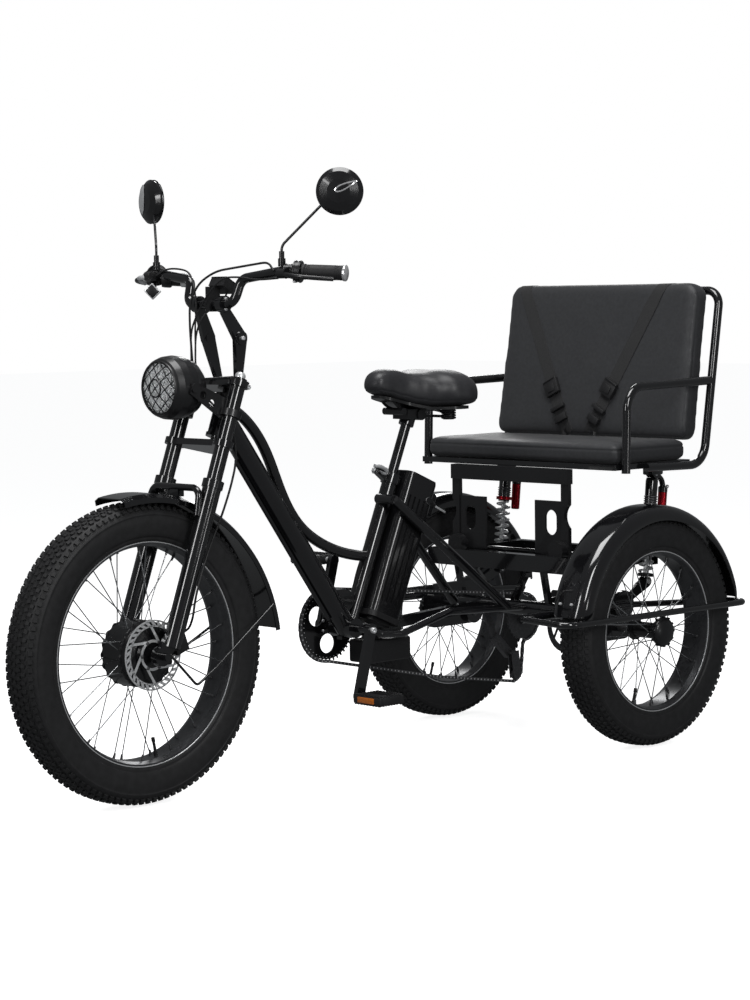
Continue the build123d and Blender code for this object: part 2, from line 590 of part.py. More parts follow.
def bench(nodes):
    """Passenger bench: support, base, arm and back tubes, and the two plain cushions."""
    x, floor = BENCH_TUBE_X, BENCH_Z + 3
    arm = bent_rod([(x, 622, BENCH_Z - 8), (x, 628, 904), (x, 958, 912)], [60], BENCH_TUBE_R)
    half = [(x, 700, floor), (x, 929, floor - 4), (x, 999, 1142)]
    back = bent_rod([(-a, b, c) for a, b, c in half] + half[::-1], [60, 40, 40, 60], BENCH_TUBE_R)
    base = block(-x + 10, x - 10, BENCH_FRONT_Y - 8, BENCH_REAR_Y + 2, BENCH_Z, BENCH_Z + 14)
    nodes["arm_tubes"] = both_sides(arm - back)
    nodes["back_tube"] = back
    nodes["bench_support"] = bench_support()
    nodes["bench_base"] = base - back - nodes["arm_tubes"]
    pad = block(-BENCH_HALF_W, BENCH_HALF_W, BENCH_FRONT_Y, BENCH_REAR_Y, BENCH_Z + 14.3, BENCH_TOP)
    nodes["bench_cushion"] = fillet(pad.edges(), 12) - back
    lean = radians(BACK_LEAN)
    place = Plane(origin=(0, BACK_Y, BACK_Z), x_dir=(1, 0, 0), z_dir=(0, sin(lean), cos(lean)))
    narrow = BENCH_HALF_W - 4
    outline = make_face(Polyline(
        (-BENCH_HALF_W, 0, 0), (BENCH_HALF_W, 0, 0), (narrow, 0, BACK_H), (-narrow, 0, BACK_H), close=True))
    cushion = extrude(outline, 52, dir=(0, 1, 0))
    corners = cushion.edges().filter_by(Axis.Y).sort_by(Axis.Z)
    cushion = fillet(corners[:2], 20)
    cushion = fillet(cushion.edges().filter_by(Axis.Y).sort_by(Axis.Z)[-2:], 40)
    nodes["backrest_cushion"] = place * cushion - back
    nodes["seat_belts"] = place * Compound(children=[*belt(213, 8).solids(), *belt(-271, -66).solids()])


def belt(top_x, foot_x):
    """One lap belt down the backrest with its buckle, in the backrest's own frame."""
    top, foot = Vector(top_x, -3, BACK_H), Vector(foot_x, -3, 4)
    strap = bar(top, foot, 38, 2, up=(0, 1, 0))
    high, low = (foot + (top - foot) * share for share in (0.33, 0.14))
    clasp = bar(high - Vector(0, 6, 0), low - Vector(0, 6, 0), 46, 12, up=(0, 1, 0))
    hook = block(top_x - 24, top_x + 24, -4, 58, BACK_H + 1, BACK_H + 3)
    return strap + clasp + hook


def rear_fenders(nodes):
    """Rear mudguards with their outer bars."""
    guard = fender(X_REAR, Y_REAR, REAR_TYRE_R, 315.5, 108, 12, 168)
    front, back, inner, outer = Y_REAR - 375, Y_REAR + 315, X_REAR - 78, X_REAR + 72
    for edge, shell in ((front + 4, front + 80), (back - 3, back - 19)):
        guard = guard + bar((X_REAR, edge, 347), (X_REAR, shell, 362), 44, 4)
    rail = bent_rod(
        [(inner, front, 350), (outer, front, 344), (outer, back, 342), (X_REAR - 8, back, 342)], [40, 30], 8)
    rail = rail + rod((inner, Y_REAR + 7, 350), (inner, front - 4, 350), 10)
    rail = rail + rod((inner, Y_REAR + 7, 350), (inner, Y_REAR + 235, 336), 8)
    nodes["fender_left"] = guard - rail
    nodes["fender_right"] = mirrored(nodes["fender_left"])
    nodes["fender_bars"] = both_sides(rail)


def shocks():
    """Coil shocks with reservoirs between the axle carriers and the bench."""
    foot, head = Vector(SHOCK_X, SHOCK_FOOT_Y, SHOCK_FOOT_Z), Vector(SHOCK_X, 832, 676)
    along = (head - foot).normalized()
    made = rod(foot, head, 12) + rod(head - along * 96, head - along * 14, 18)
    made = made + rod(head - along * 106, head - along * 96, 22)
    for n in range(12):
        made = made + rod(foot + along * (24 + 12 * n), foot + along * (30 + 12 * n), 20)
    made = made + rod(foot + along * 12, foot + along * 22, 20)
    for end in (foot, head):
        made = made + disc(SHOCK_X - 12, SHOCK_X + 12, end.Y, end.Z, 12)
    x = SHOCK_X
    made = made + rod((x, 856, 590), (x, 863, 662), 12) + rod((x, 832, 652), (x, 862, 652), 8)
    return both_sides(made)


# ---------------------------------------------------------------- drive
def pedal(side, y, z):
    """Cage pedal about its axle."""
    x0, x1 = sorted((side * 106, side * 200))
    body = fillet(block(x0, x1, y - 40, y + 40, z - 12, z + 12).edges().filter_by(Axis.Z), 8)
    middle = (x0 + x1) / 2
    for dy in (-22, 22):
        body = body - block(middle - 36, middle + 36, y + dy - 12, y + dy + 12, z - 20, z + 20)
    return body + disc(*sorted((side * 93, side * 106)), y, z, 7)


def drive(nodes):
    """Cranks, chainring, pedals, chain and derailleur."""
    lean = radians(CRANK_LEAN)
    reach_y, reach_z = CRANK_LENGTH * sin(lean), CRANK_LENGTH * cos(lean)
    left, right = (CRANK_Y - reach_y, CRANK_Z - reach_z), (CRANK_Y + reach_y, CRANK_Z + reach_z)
    crank = disc(-92, 92, CRANK_Y, CRANK_Z, 9)
    for x, (y, z) in ((86, left), (-86, right)):
        crank = crank + bar((x, CRANK_Y, CRANK_Z), (x, y, z), 26, 13, up=(1, 0, 0))
        crank = crank + disc(x - 7, x + 7, CRANK_Y, CRANK_Z, 16) + disc(x - 7, x + 7, y, z, 13)
    chainring = ring(CHAIN_X - 2, CHAIN_X + 2, CRANK_Y, CRANK_Z, CHAINRING_R, 9)
    for turn in (147, 267, 27):
        hole_y, hole_z = CRANK_Y - 45 * cos(radians(180 - turn)), CRANK_Z + 45 * sin(radians(turn))
        chainring = chainring - disc(CHAIN_X - 5, CHAIN_X + 5, hole_y, hole_z, 24)
    nodes["crankset"] = crank + chainring
    nodes["pedal_left"] = pedal(1, *left)
    nodes["pedal_right"] = pedal(-1, *right)
    nodes["chain"] = chain()
    nodes["derailleur"] = derailleur() - nodes["chain"]


def chain():
    """Closed chain round the chainring, the smallest sprocket and the lower pulley."""
    x0, x1 = CHAIN_X - 3.5, CHAIN_X + 3.5
    inner, outer = CHAINRING_R + 1.5, CHAINRING_R + 9
    front = ring(x0, x1, CRANK_Y, CRANK_Z, outer, inner)
    front = front - block(x0 - 5, x1 + 5, CRANK_Y, CRANK_Y + 200, CRANK_Z - 200, CRANK_Z + 200)
    rear = ring(x0, x1, Y_REAR, REAR_TYRE_R, COG_R + 9, COG_R + 1.5)
    rear = rear - block(x0 - 5, x1 + 5, Y_REAR - 100, Y_REAR, 100, 400)
    mid, cog = (inner + outer) / 2, COG_R + 5.25
    runs = [
        ((CRANK_Y, CRANK_Z + mid), (Y_REAR, REAR_TYRE_R + cog)),
        ((CRANK_Y, CRANK_Z - mid), (371, 169)), ((371, 169), (652, 126)),
        ((652, 126), (676, 142)), ((676, 142), (Y_REAR, REAR_TYRE_R - cog)),
    ]
    made = front + rear
    for (y0, z0), (y1, z1) in runs:
        made = made + bar((CHAIN_X, y0, z0), (CHAIN_X, y1, z1), 7, 7.5)
    return made


def derailleur():
    """Rear derailleur: hanger, body and a cage with two pulleys."""
    made = disc(CHAIN_X - 3, CHAIN_X + 3, 656, 144, 14)
    for x in (CHAIN_X - 7, CHAIN_X + 7):
        made = made + bar((x, 648, 206), (x, 656, 136), 26, 3, up=(1, 0, 0))
    made = made + disc(CHAIN_X - 9, CHAIN_X + 9, 656, 144, 4) + disc(CHAIN_X - 9, CHAIN_X + 9, 640, 202, 4)
    made = made + bar((CHAIN_X - 16, 648, 196), (CHAIN_X - 22, 596, 250), 24, 16, up=(1, 0, 0))
    return made + bar((CHAIN_X - 22, 600, 244), (CHAIN_X - 22, 556, 336), 16, 8, up=(1, 0, 0))


def brakes(nodes):
    """Calipers on both discs, the rear one on an arm from the axle beam, and the front hose."""
    front = caliper(ROTOR_X, -596, 372, 20) + block(66, 78, -624, -600, 352, 392)
    nodes["front_caliper"] = front - nodes["fork_leg_left"]
    rear = caliper(REAR_ROTOR_X, Y_REAR - 53, 346, 135)
    arm_x = REAR_ROTOR_X + 9
    arm = bar((arm_x, AXLE_BEAM_Y, AXLE_BEAM_Z), (arm_x, Y_REAR - 59, 352), 26, 8, up=(1, 0, 0))
    nodes["rear_caliper"] = rear + arm - disc(0, 200, AXLE_BEAM_Y, AXLE_BEAM_Z, 20)
    nodes["front_brake_hose"] = cable("front_brake_hose", FRONT_HOSE, 2.6)


FRONT_HOSE = [                  # from the left lever, behind the lamp and down the left leg
    (206, -420, 1196), (172, -405, 1217), (122, -408, 1212), (74, -418, 1206), (26, -436, 1199),
    (-16, -452, 1172), (-40, -459, 1128), (-42, -458, 1076), (-39, -457, 1024), (-33, -458, 972),
    (-8, -455, 922), (28, -440, 886), (51, -418, 850), (56, -410, 805), (56, -411, 757),
    (58, -430, 705), (63, -458, 652), (80, -498, 606), (99, -537, 564), (110, -566, 520),
    (111, -585, 470), (107, -590, 426), (92, -588, 402), (73, -586, 392),
]


# ---------------------------------------------------------------- build and write
MITRES = [                      # (piece, the piece that it is cut to fit)
    ("fork_arch", "fork_leg_left"), ("fork_arch", "fork_leg_right"), ("chainstays", "axle_beam"),
    ("down_tube", "head_tube"), ("top_tube", "head_tube"), ("derailleur", "axle_beam"),
    ("chain", "axle_beam"), ("front_caliper", "front_fender"), ("headlamp", "fork_leg_left"),
    ("headlamp", "fork_leg_right"), ("chainstays", "battery_cradle"), ("diagonal_stays", "chainstays"),
    ("battery_case", "diagonal_stays"), ("battery_case", "seat_tube"), ("saddle_base", "saddle_cushion"),
    ("shocks", "bench_base"), ("axle_beam", "shocks"), ("brake_levers", "grips"), ("mirrors", "brake_levers"),
    ("mirrors", "handlebar"), ("bench_support", "rear_platform"), ("front_brake_hose", "display"),
    ("bell", "brake_levers"), ("front_brake_hose", "front_caliper"), ("battery_cradle", "seat_tube"),
    ("control_box", "chainstays"),
    ("derailleur", "chainstays"), ("fender_bars", "axle_beam"), ("front_brake_hose", "brake_levers"),
]

nodes = {}
front_wheel(nodes)
for side, node in ((1, "left"), (-1, "right")):
    rear_wheel(nodes, side, node)
rear_axles(nodes)
fork(nodes)
cockpit(nodes)
lamp(nodes)
nodes["front_fender"] = front_fender()
frame_tubes(nodes)
saddle(nodes)
battery(nodes)
lower_frame(nodes)
rear_platform(nodes)
bench(nodes)
rear_fenders(nodes)
nodes["shocks"] = shocks()
drive(nodes)
brakes(nodes)
for piece, cutter in MITRES:
    nodes[piece] = nodes[piece] - nodes[cutter]
os.makedirs("parts", exist_ok=True)
for node, shape in nodes.items():
    export_step(shape, f"parts/{node}.step")
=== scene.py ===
import bmesh
import bpy
from math import cos, pi, radians, sin, sqrt
from mathutils import Matrix, Vector
from mathutils.bvhtree import BVHTree


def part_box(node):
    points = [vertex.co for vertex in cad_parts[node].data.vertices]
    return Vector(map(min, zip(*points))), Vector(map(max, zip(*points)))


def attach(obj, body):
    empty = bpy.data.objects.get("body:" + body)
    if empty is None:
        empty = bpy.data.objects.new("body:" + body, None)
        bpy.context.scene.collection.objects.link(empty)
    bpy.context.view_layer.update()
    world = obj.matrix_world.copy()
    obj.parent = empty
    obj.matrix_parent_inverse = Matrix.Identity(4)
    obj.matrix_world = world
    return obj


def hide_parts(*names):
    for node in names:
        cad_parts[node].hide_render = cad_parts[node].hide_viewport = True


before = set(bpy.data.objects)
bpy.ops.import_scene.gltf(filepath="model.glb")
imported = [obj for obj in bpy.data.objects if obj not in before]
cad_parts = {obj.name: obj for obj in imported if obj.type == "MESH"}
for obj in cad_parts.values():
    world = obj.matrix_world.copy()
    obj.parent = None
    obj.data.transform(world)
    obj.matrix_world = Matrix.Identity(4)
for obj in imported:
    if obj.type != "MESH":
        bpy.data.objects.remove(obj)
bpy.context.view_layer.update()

# Looks of the electric fat-tyre tricycle: metres, the front wheel toward -Y, the rider's left toward +X.
scene = bpy.context.scene
MM = 0.001


def mm(*p):
    """Point given in millimetres."""
    return Vector(p) * MM


def move(place):
    """Matrix that moves the origin to a place."""
    return Matrix.Translation(place)


def spin(angle, axis):
    """Matrix that turns about the X, Y or Z axis."""
    return Matrix.Rotation(angle, 4, axis)


def link(name, data):
    """New object in the scene."""
    made = bpy.data.objects.new(name, data)
    scene.collection.objects.link(made)
    return made


# ---------- camera, light and floor
CAMERA_PLACE = (4.4916, -4.2745, 1.1283)
CAMERA_LENS = 92.62


def camera():
    """Camera at the photograph's viewing angle."""
    azimuth, elevation, roll = radians(45.85), radians(4.44), radians(-0.74)
    forward = Vector((-sin(azimuth) * cos(elevation), cos(azimuth) * cos(elevation), -sin(elevation)))
    level = Vector((cos(azimuth), sin(azimuth), 0))
    up = level.cross(forward)
    right = cos(roll) * level + sin(roll) * up
    up = -sin(roll) * level + cos(roll) * up
    data = bpy.data.cameras.new("camera")
    data.sensor_fit, data.sensor_height, data.lens = "VERTICAL", 36, CAMERA_LENS
    scene.camera = link("camera", data)
    scene.camera.matrix_world = move(CAMERA_PLACE) @ Matrix((right, up, -forward)).transposed().to_4x4()


LIGHTS = (                       # name, place, height aimed at, width, height and power
    ("light_top", (0.2, -0.4, 3.6), 0.4, 1.7, 1.7, 62),
    ("light_key", (3.4, -1.2, 2.5), 0.6, 0.7, 1.9, 46),
    ("light_front", (0.4, -4.2, 2.1), 0.6, 0.6, 1.9, 34),
    ("light_rim", (-2.6, 2.8, 2.6), 0.8, 1.0, 1.6, 30),
    ("light_low", (4.2, 0.6, 0.5), 0.4, 0.35, 0.8, 6),
)


def softbox(name, place, aim, width, height, power):
    """Rectangular soft light aimed at a height above the origin."""
    data = bpy.data.lights.new(name, "AREA")
    data.shape, data.size, data.size_y, data.energy = "RECTANGLE", width, height, power
    made = link(name, data)
    made.location = place
    made.rotation_euler = (Vector((0, 0, aim)) - Vector(place)).to_track_quat("-Z", "Y").to_euler()


def studio():
    """White surroundings, soft lights and a pale floor that lights nothing."""
    world = bpy.data.worlds.new("studio")
    scene.world = world
    world.use_nodes = True
    nodes, links = world.node_tree.nodes, world.node_tree.links
    nodes.clear()
    seen, lit = nodes.new("ShaderNodeBackground"), nodes.new("ShaderNodeBackground")
    seen.inputs[0].default_value, seen.inputs[1].default_value = (1, 1, 1, 1), 1.0
    lit.inputs[0].default_value, lit.inputs[1].default_value = (0.94, 0.97, 1, 1), 0.13
    path, mix, out = (nodes.new(k) for k in (
        "ShaderNodeLightPath", "ShaderNodeMixShader", "ShaderNodeOutputWorld"))
    links.new(path.outputs["Is Camera Ray"], mix.inputs[0])
    links.new(lit.outputs[0], mix.inputs[1])
    links.new(seen.outputs[0], mix.inputs[2])
    links.new(mix.outputs[0], out.inputs[0])
    for light in LIGHTS:
        softbox(*light)
    scene.view_settings.view_transform = "Standard"
    floor = bpy.data.meshes.new("floor")
    floor.from_pydata([(-30, -30, 0), (30, -30, 0), (30, 30, 0), (-30, 30, 0)], [], [(0, 1, 2, 3)])
    made = link("floor", floor)
    paint = material("floor_paint", (0.9, 0.9, 0.9), 0.8, tint=0.01, bump=0.0)
    shader = paint.node_tree.nodes["Principled BSDF"]
    shader.inputs["Emission Color"].default_value = (1, 1, 1, 1)
    shader.inputs["Emission Strength"].default_value = 0.86
    floor.materials.append(paint)
    made.visible_glossy = made.visible_diffuse = False


# ---------- materials
def material(name, colour, rough, metal=0.0, coat=0.0, sheen=0.0, tint=0.2, grain=220.0, pattern="noise",
             size=900.0, bump=0.15, depth=0.0002, clear=0.0, hub=None):
    """Procedural finish with mottled colour, uneven gloss and fine relief.

    hub is (y, z, radius): beyond that radius about that axis the finish is bare steel, for the spokes.
    """
    made = bpy.data.materials.new(name)
    made.use_nodes = True
    nodes, links = made.node_tree.nodes, made.node_tree.links
    shader = nodes["Principled BSDF"]
    shader.inputs["Metallic"].default_value = metal
    shader.inputs["Coat Weight"].default_value = coat
    shader.inputs["Coat Roughness"].default_value = 0.05
    shader.inputs["Sheen Weight"].default_value = sheen
    shader.inputs["Transmission Weight"].default_value = clear
    coords = nodes.new("ShaderNodeTexCoord")

    def texture(kind, scale, detail=3.0):
        made_node = nodes.new(kind)
        links.new(coords.outputs["Object"], made_node.inputs["Vector"])
        made_node.inputs["Scale"].default_value = scale
        if "Detail" in made_node.inputs:
            made_node.inputs["Detail"].default_value = detail
        return made_node

    def maths(kind, operation, first, second=None):
        made_node = nodes.new(kind)
        made_node.operation = operation
        links.new(first, made_node.inputs[0])
        if second is not None:
            made_node.inputs[1].default_value = second
        return made_node

    mottle = texture("ShaderNodeTexNoise", grain)
    ramp = nodes.new("ShaderNodeValToRGB")
    links.new(mottle.outputs[0], ramp.inputs[0])
    dark, light = ramp.color_ramp.elements
    dark.position, light.position = 0.3, 0.7
    dark.color = [c * (1 - tint) for c in colour] + [1]
    light.color = [min(1, c * (1 + tint)) for c in colour] + [1]
    wear = texture("ShaderNodeTexNoise", 9.0, 6.0)
    gloss = nodes.new("ShaderNodeMapRange")
    links.new(wear.outputs[0], gloss.inputs[0])
    gloss.inputs[1].default_value, gloss.inputs[2].default_value = 0.3, 0.7
    gloss.inputs[3].default_value = max(0.02, rough - 0.06)
    gloss.inputs[4].default_value = min(1, rough + 0.06)
    colour_out = ramp.outputs[0]
    if hub:
        away = maths("ShaderNodeVectorMath", "SUBTRACT", coords.outputs["Object"], (0, hub[0], hub[1]))
        flat = maths("ShaderNodeVectorMath", "MULTIPLY", away.outputs[0], (0, 1, 1))
        reach = maths("ShaderNodeVectorMath", "LENGTH", flat.outputs[0])
        spoke = maths("ShaderNodeMath", "GREATER_THAN", reach.outputs["Value"], hub[2])
        swap = nodes.new("ShaderNodeMix")
        swap.data_type = "RGBA"
        links.new(spoke.outputs[0], swap.inputs["Factor"])
        links.new(colour_out, swap.inputs["A"])
        swap.inputs["B"].default_value = (0.42, 0.43, 0.44, 1)
        links.new(spoke.outputs[0], shader.inputs["Metallic"])
        colour_out = swap.outputs["Result"]
    links.new(colour_out, shader.inputs["Base Color"])
    links.new(gloss.outputs[0], shader.inputs["Roughness"])
    if bump:
        relief = nodes.new("ShaderNodeBump")
        relief.inputs["Strength"].default_value = bump
        relief.inputs["Distance"].default_value = depth
        if pattern in ("grain", "facets"):
            cells = texture("ShaderNodeTexVoronoi", size)
            if pattern == "grain":
                cells.feature = "DISTANCE_TO_EDGE"
            height = cells.outputs["Distance"]
        elif pattern == "weave":
            weft, warp = texture("ShaderNodeTexWave", size, 0.0), texture("ShaderNodeTexWave", size, 0.0)
            weft.bands_direction, warp.bands_direction = "X", "Z"
            both = maths("ShaderNodeMath", "MULTIPLY", weft.outputs["Fac"])
            links.new(warp.outputs["Fac"], both.inputs[1])
            height = both.outputs[0]
        else:
            height = texture("ShaderNodeTexNoise", size, 4.0).outputs[0]
        links.new(height, relief.inputs["Height"])
        links.new(relief.outputs[0], shader.inputs["Normal"])
    return made


camera()
studio()
Y_FRONT, Z_FRONT = -0.665, 0.345
X_REAR, Y_REAR, Z_REAR = 0.356, 0.686, 0.293
FRONT_RIM_R, REAR_RIM_R = 0.254, 0.202
CRANK_Y, CRANK_Z = -0.018, 0.34
CHAIN_X = -0.066
CHAIN_PITCH = 0.0127
SIDES = ((1, "left"), (-1, "right"))
STEER_SIN, STEER_COS = 0.9397, 0.342     # of the fork's 70 degrees from level
GLOSS = material("gloss_black_paint", (0.006, 0.006, 0.007), 0.16, coat=1.0, size=700, bump=0.03)
SATIN = material("satin_black_paint", (0.01, 0.01, 0.011), 0.34, coat=0.25, size=1100, bump=0.08)
RUBBER = material("tyre_rubber", (0.013, 0.013, 0.014), 0.62, sheen=0.02, tint=0.3, grain=60, size=1500,
                  bump=0.35)
RIM = material("rim_anodised", (0.085, 0.087, 0.092), 0.3, metal=0.6, tint=0.12, grain=90, size=1400,
               bump=0.06)
MOTOR = material("motor_casing", (0.008, 0.008, 0.009), 0.26, coat=0.4, size=800, bump=0.1,
                 hub=(Y_FRONT, Z_FRONT, 0.0775))
HUB = material("hub_casing", (0.008, 0.008, 0.009), 0.3, coat=0.4, size=800, bump=0.1,
               hub=(Y_REAR, Z_REAR, 0.0345))
STEEL = material("brushed_steel", (0.86, 0.87, 0.88), 0.32, metal=0.55, tint=0.12, grain=400, size=1600,
                 bump=0.1)
DARK_STEEL = material("oiled_steel", (0.13, 0.13, 0.135), 0.36, metal=0.6, tint=0.3, grain=300, size=1500,
                      bump=0.15)
CHROME = material("chrome", (0.92, 0.92, 0.93), 0.12, metal=0.7, tint=0.05, size=900, bump=0.03)
VINYL = material("charcoal_vinyl", (0.03, 0.031, 0.034), 0.52, sheen=0.12, tint=0.14, grain=120,
                 pattern="grain", size=620, bump=0.5, depth=0.0003)
SADDLE_VINYL = material("saddle_vinyl", (0.024, 0.024, 0.027), 0.44, sheen=0.05, tint=0.12, grain=140,
                        pattern="grain", size=900, bump=0.35, depth=0.0002)
PLASTIC = material("moulded_plastic", (0.014, 0.014, 0.015), 0.48, tint=0.2, size=1300, bump=0.2)
GLOSS_PLASTIC = material("battery_plastic", (0.008, 0.008, 0.009), 0.2, coat=0.5, size=600, bump=0.05)
GRIP = material("grip_rubber", (0.012, 0.012, 0.013), 0.58, tint=0.25, size=1000, bump=0.35)
GLASS = material("lamp_glass", (0.97, 0.98, 0.99), 0.06, clear=0.95, tint=0.02, pattern="facets", size=120,
                 bump=0.6, depth=0.002)
MIRROR = material("mirror_glass", (0.86, 0.88, 0.9), 0.03, metal=1.0, tint=0.02, size=200, bump=0.0)
BOWL = material("lamp_bowl", (0.95, 0.96, 0.97), 0.16, metal=0.15, tint=0.04, size=300, bump=0.1)
WEBBING = material("webbing", (0.011, 0.011, 0.012), 0.72, sheen=0.2, tint=0.25, grain=500, pattern="weave",
                   size=260, bump=0.6, depth=0.0004)
RED = material("red_anodised", (0.42, 0.01, 0.02), 0.26, metal=0.8, tint=0.1, size=900, bump=0.05)
AMBER = material("amber_reflector", (0.62, 0.17, 0.02), 0.18, coat=0.6, tint=0.25, grain=300,
                 pattern="facets", size=420, bump=0.6, depth=0.0006)

BY_NODE = {
    RIM: ["front_rim", "rear_rim_left", "rear_rim_right"],
    MOTOR: ["front_hub_motor"],
    HUB: ["rear_hub_left", "rear_hub_right"],
    STEEL: ["front_rotor"],
    DARK_STEEL: ["rear_shaft", "rear_axle_right", "derailleur", "chain"],
    RUBBER: ["front_tyre", "rear_tyre_left", "rear_tyre_right"],
    SATIN: ["headlamp", "front_caliper", "rear_caliper", "saddle_base", "bench_support", "shocks",
            "brake_levers"],
    PLASTIC: ["display", "bell", "battery_cradle", "control_box", "pedal_left", "pedal_right"],
    GLOSS_PLASTIC: ["battery_case", "mirrors"],
    GRIP: ["grips", "front_brake_hose"],
    VINYL: ["bench_cushion", "backrest_cushion"],
    SADDLE_VINYL: ["saddle_cushion"],
    WEBBING: ["seat_belts"],
    GLASS: ["headlamp_lens"],
}
finish_of = {node: made for made, names in BY_NODE.items() for node in names}
for node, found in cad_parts.items():
    for place in found.material_slots:
        place.material = finish_of.get(node, GLOSS)


# ---------- mesh building
class Shape:
    """Faces gathered from simple forms into one piece."""

    def __init__(self):
        self.points, self.faces, self.mats = [], [], []

    def add(self, points, faces, mat=0, at=None):
        """Points and faces, placed by at."""
        first = len(self.points)
        self.points += [at @ Vector(p) if at else Vector(p) for p in points]
        self.faces += [tuple(i + first for i in f) for f in faces]
        self.mats += [mat] * len(faces)

    def grid(self, rows, mat=0, close_u=False, close_v=False, at=None, cap=False):
        """Surface through rows of points; close_u joins a row's ends, close_v the rows' ends."""
        n, m = len(rows), len(rows[0])
        faces = [(i * m + j, i * m + (j + 1) % m, (i + 1) % n * m + (j + 1) % m, (i + 1) % n * m + j)
                 for i in range(n if close_v else n - 1) for j in range(m if close_u else m - 1)]
        if cap:
            faces += [tuple(range(m))[::-1], tuple((n - 1) * m + j for j in range(m))]
        self.add([p for row in rows for p in row], faces, mat, at)

    def lathe(self, profile, turns, mat=0, at=None, closed=False):
        """Form turned about local X from (x, radius) pairs."""
        rows = [[(x, r * cos(2 * pi * j / turns), r * sin(2 * pi * j / turns)) for j in range(turns)]
                for x, r in profile]
        self.grid(rows, mat, close_u=True, close_v=closed, at=at, cap=not closed)

    def tube(self, path, radius, sides=10, mat=0, closed=False):
        """Round bar along a path of points."""
        rows, normal = [], None
        count = len(path)
        for i, p in enumerate(path):
            ahead = path[(i + 1) % count] if closed or i + 1 < count else p
            behind = path[i - 1] if closed or i else p
            heading = (ahead - behind).normalized()
            normal = heading.orthogonal() if normal is None else normal
            normal = (normal - heading * normal.dot(heading)).normalized()
            side = heading.cross(normal)
            rows.append([p + radius * (cos(2 * pi * j / sides) * normal + sin(2 * pi * j / sides) * side)
                         for j in range(sides)])
        self.grid(rows, mat, close_u=True, close_v=closed, cap=not closed)

    def block(self, size, at, mat=0, bevel=0.0):
        """Box about the origin of at, with chamfered edges."""
        made = bmesh.new()
        bmesh.ops.create_cube(made, size=1)
        bmesh.ops.scale(made, vec=size, verts=made.verts)
        if bevel:
            bmesh.ops.bevel(made, geom=made.edges, offset=bevel, segments=2, affect="EDGES", profile=0.5)
        made.verts.ensure_lookup_table()
        faces = [tuple(v.index for v in f.verts) for f in made.faces]
        self.add([v.co.copy() for v in made.verts], faces, mat, at)
        made.free()

    def piece(self, name, mats, body, slot, replaces=(), sharp=35):
        """The gathered form as an object that rides on a body."""
        data = bpy.data.meshes.new(name)
        data.from_pydata(self.points, [], self.faces)
        for mat in mats:
            data.materials.append(mat)
        data.polygons.foreach_set("material_index", self.mats)
        data.polygons.foreach_set("use_smooth", [True] * len(self.faces))
        data.update()
        data.set_sharp_from_angle(angle=radians(sharp))
        dress(link(name, data), body, replaces)


def dress(made, body, replaces=()):
    """Ties a piece to its body and the CAD nodes that it stands for."""
    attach(made, body)
    if replaces:
        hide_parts(*replaces)


def along(start, end, up=(0, 0, 1)):
    """Frame whose X axis runs from start toward end."""
    x = (end - start).normalized()
    y = Vector(up).cross(x).normalized()
    return move(start) @ Matrix((x, y, x.cross(y))).transposed().to_4x4()


def smooth(points, steps):
    """Catmull-Rom curve through the points."""
    made, last = [], len(points) - 1
    for i in range(last):
        a, b, c, d = (Vector(points[min(max(i + k, 0), last)]) for k in (-1, 0, 1, 2))
        for s in range(steps):
            t = s / steps
            made.append(0.5 * (2 * b + (c - a) * t + (2 * a - 5 * b + 4 * c - d) * t * t
                               + (3 * b - a - 3 * c + d) * t ** 3))
    return made + [Vector(points[-1])]


def level_curve(pairs, at):
    """Height read from (place, value) pairs, smoothed between them."""
    for (x0, v0), (x1, v1) in zip(pairs, pairs[1:]):
        if at <= x1:
            t = max(0.0, (at - x0) / (x1 - x0))
            return v0 + (v1 - v0) * t * t * (3 - 2 * t)
    return pairs[-1][1]


# ---------- tyres and wheels
TREAD_PITCH = 0.019             # along the tread from block to block
TREAD_ROWS = [                   # place across, shift along, width, length, turn, drop, tilt and height
    (0.0, 0.0, 0.011, 0.009, 0.0, 0.001, 0, 0.0044),
    (0.014, 0.5, 0.011, 0.01, 14, 0.0016, 8, 0.0044),
    (0.027, 0.0, 0.011, 0.01, -10, 0.0034, 20, 0.0044),
    (0.0385, 0.5, 0.011, 0.012, 6, 0.0116, 50, 0.0058),
]


def tread_block(x, y, high):
    """Points and faces of one tread block, narrower at its top."""
    low = -0.004
    points = [(-x, -y, low), (x, -y, low), (x, y, low), (-x, y, low), (-x * 0.82, -y * 0.8, high),
              (x * 0.82, -y * 0.8, high), (x * 0.82, y * 0.8, high), (-x * 0.82, y * 0.8, high)]
    return points, [(4, 5, 6, 7), (0, 1, 5, 4), (1, 2, 6, 5), (2, 3, 7, 6), (3, 0, 4, 7)]


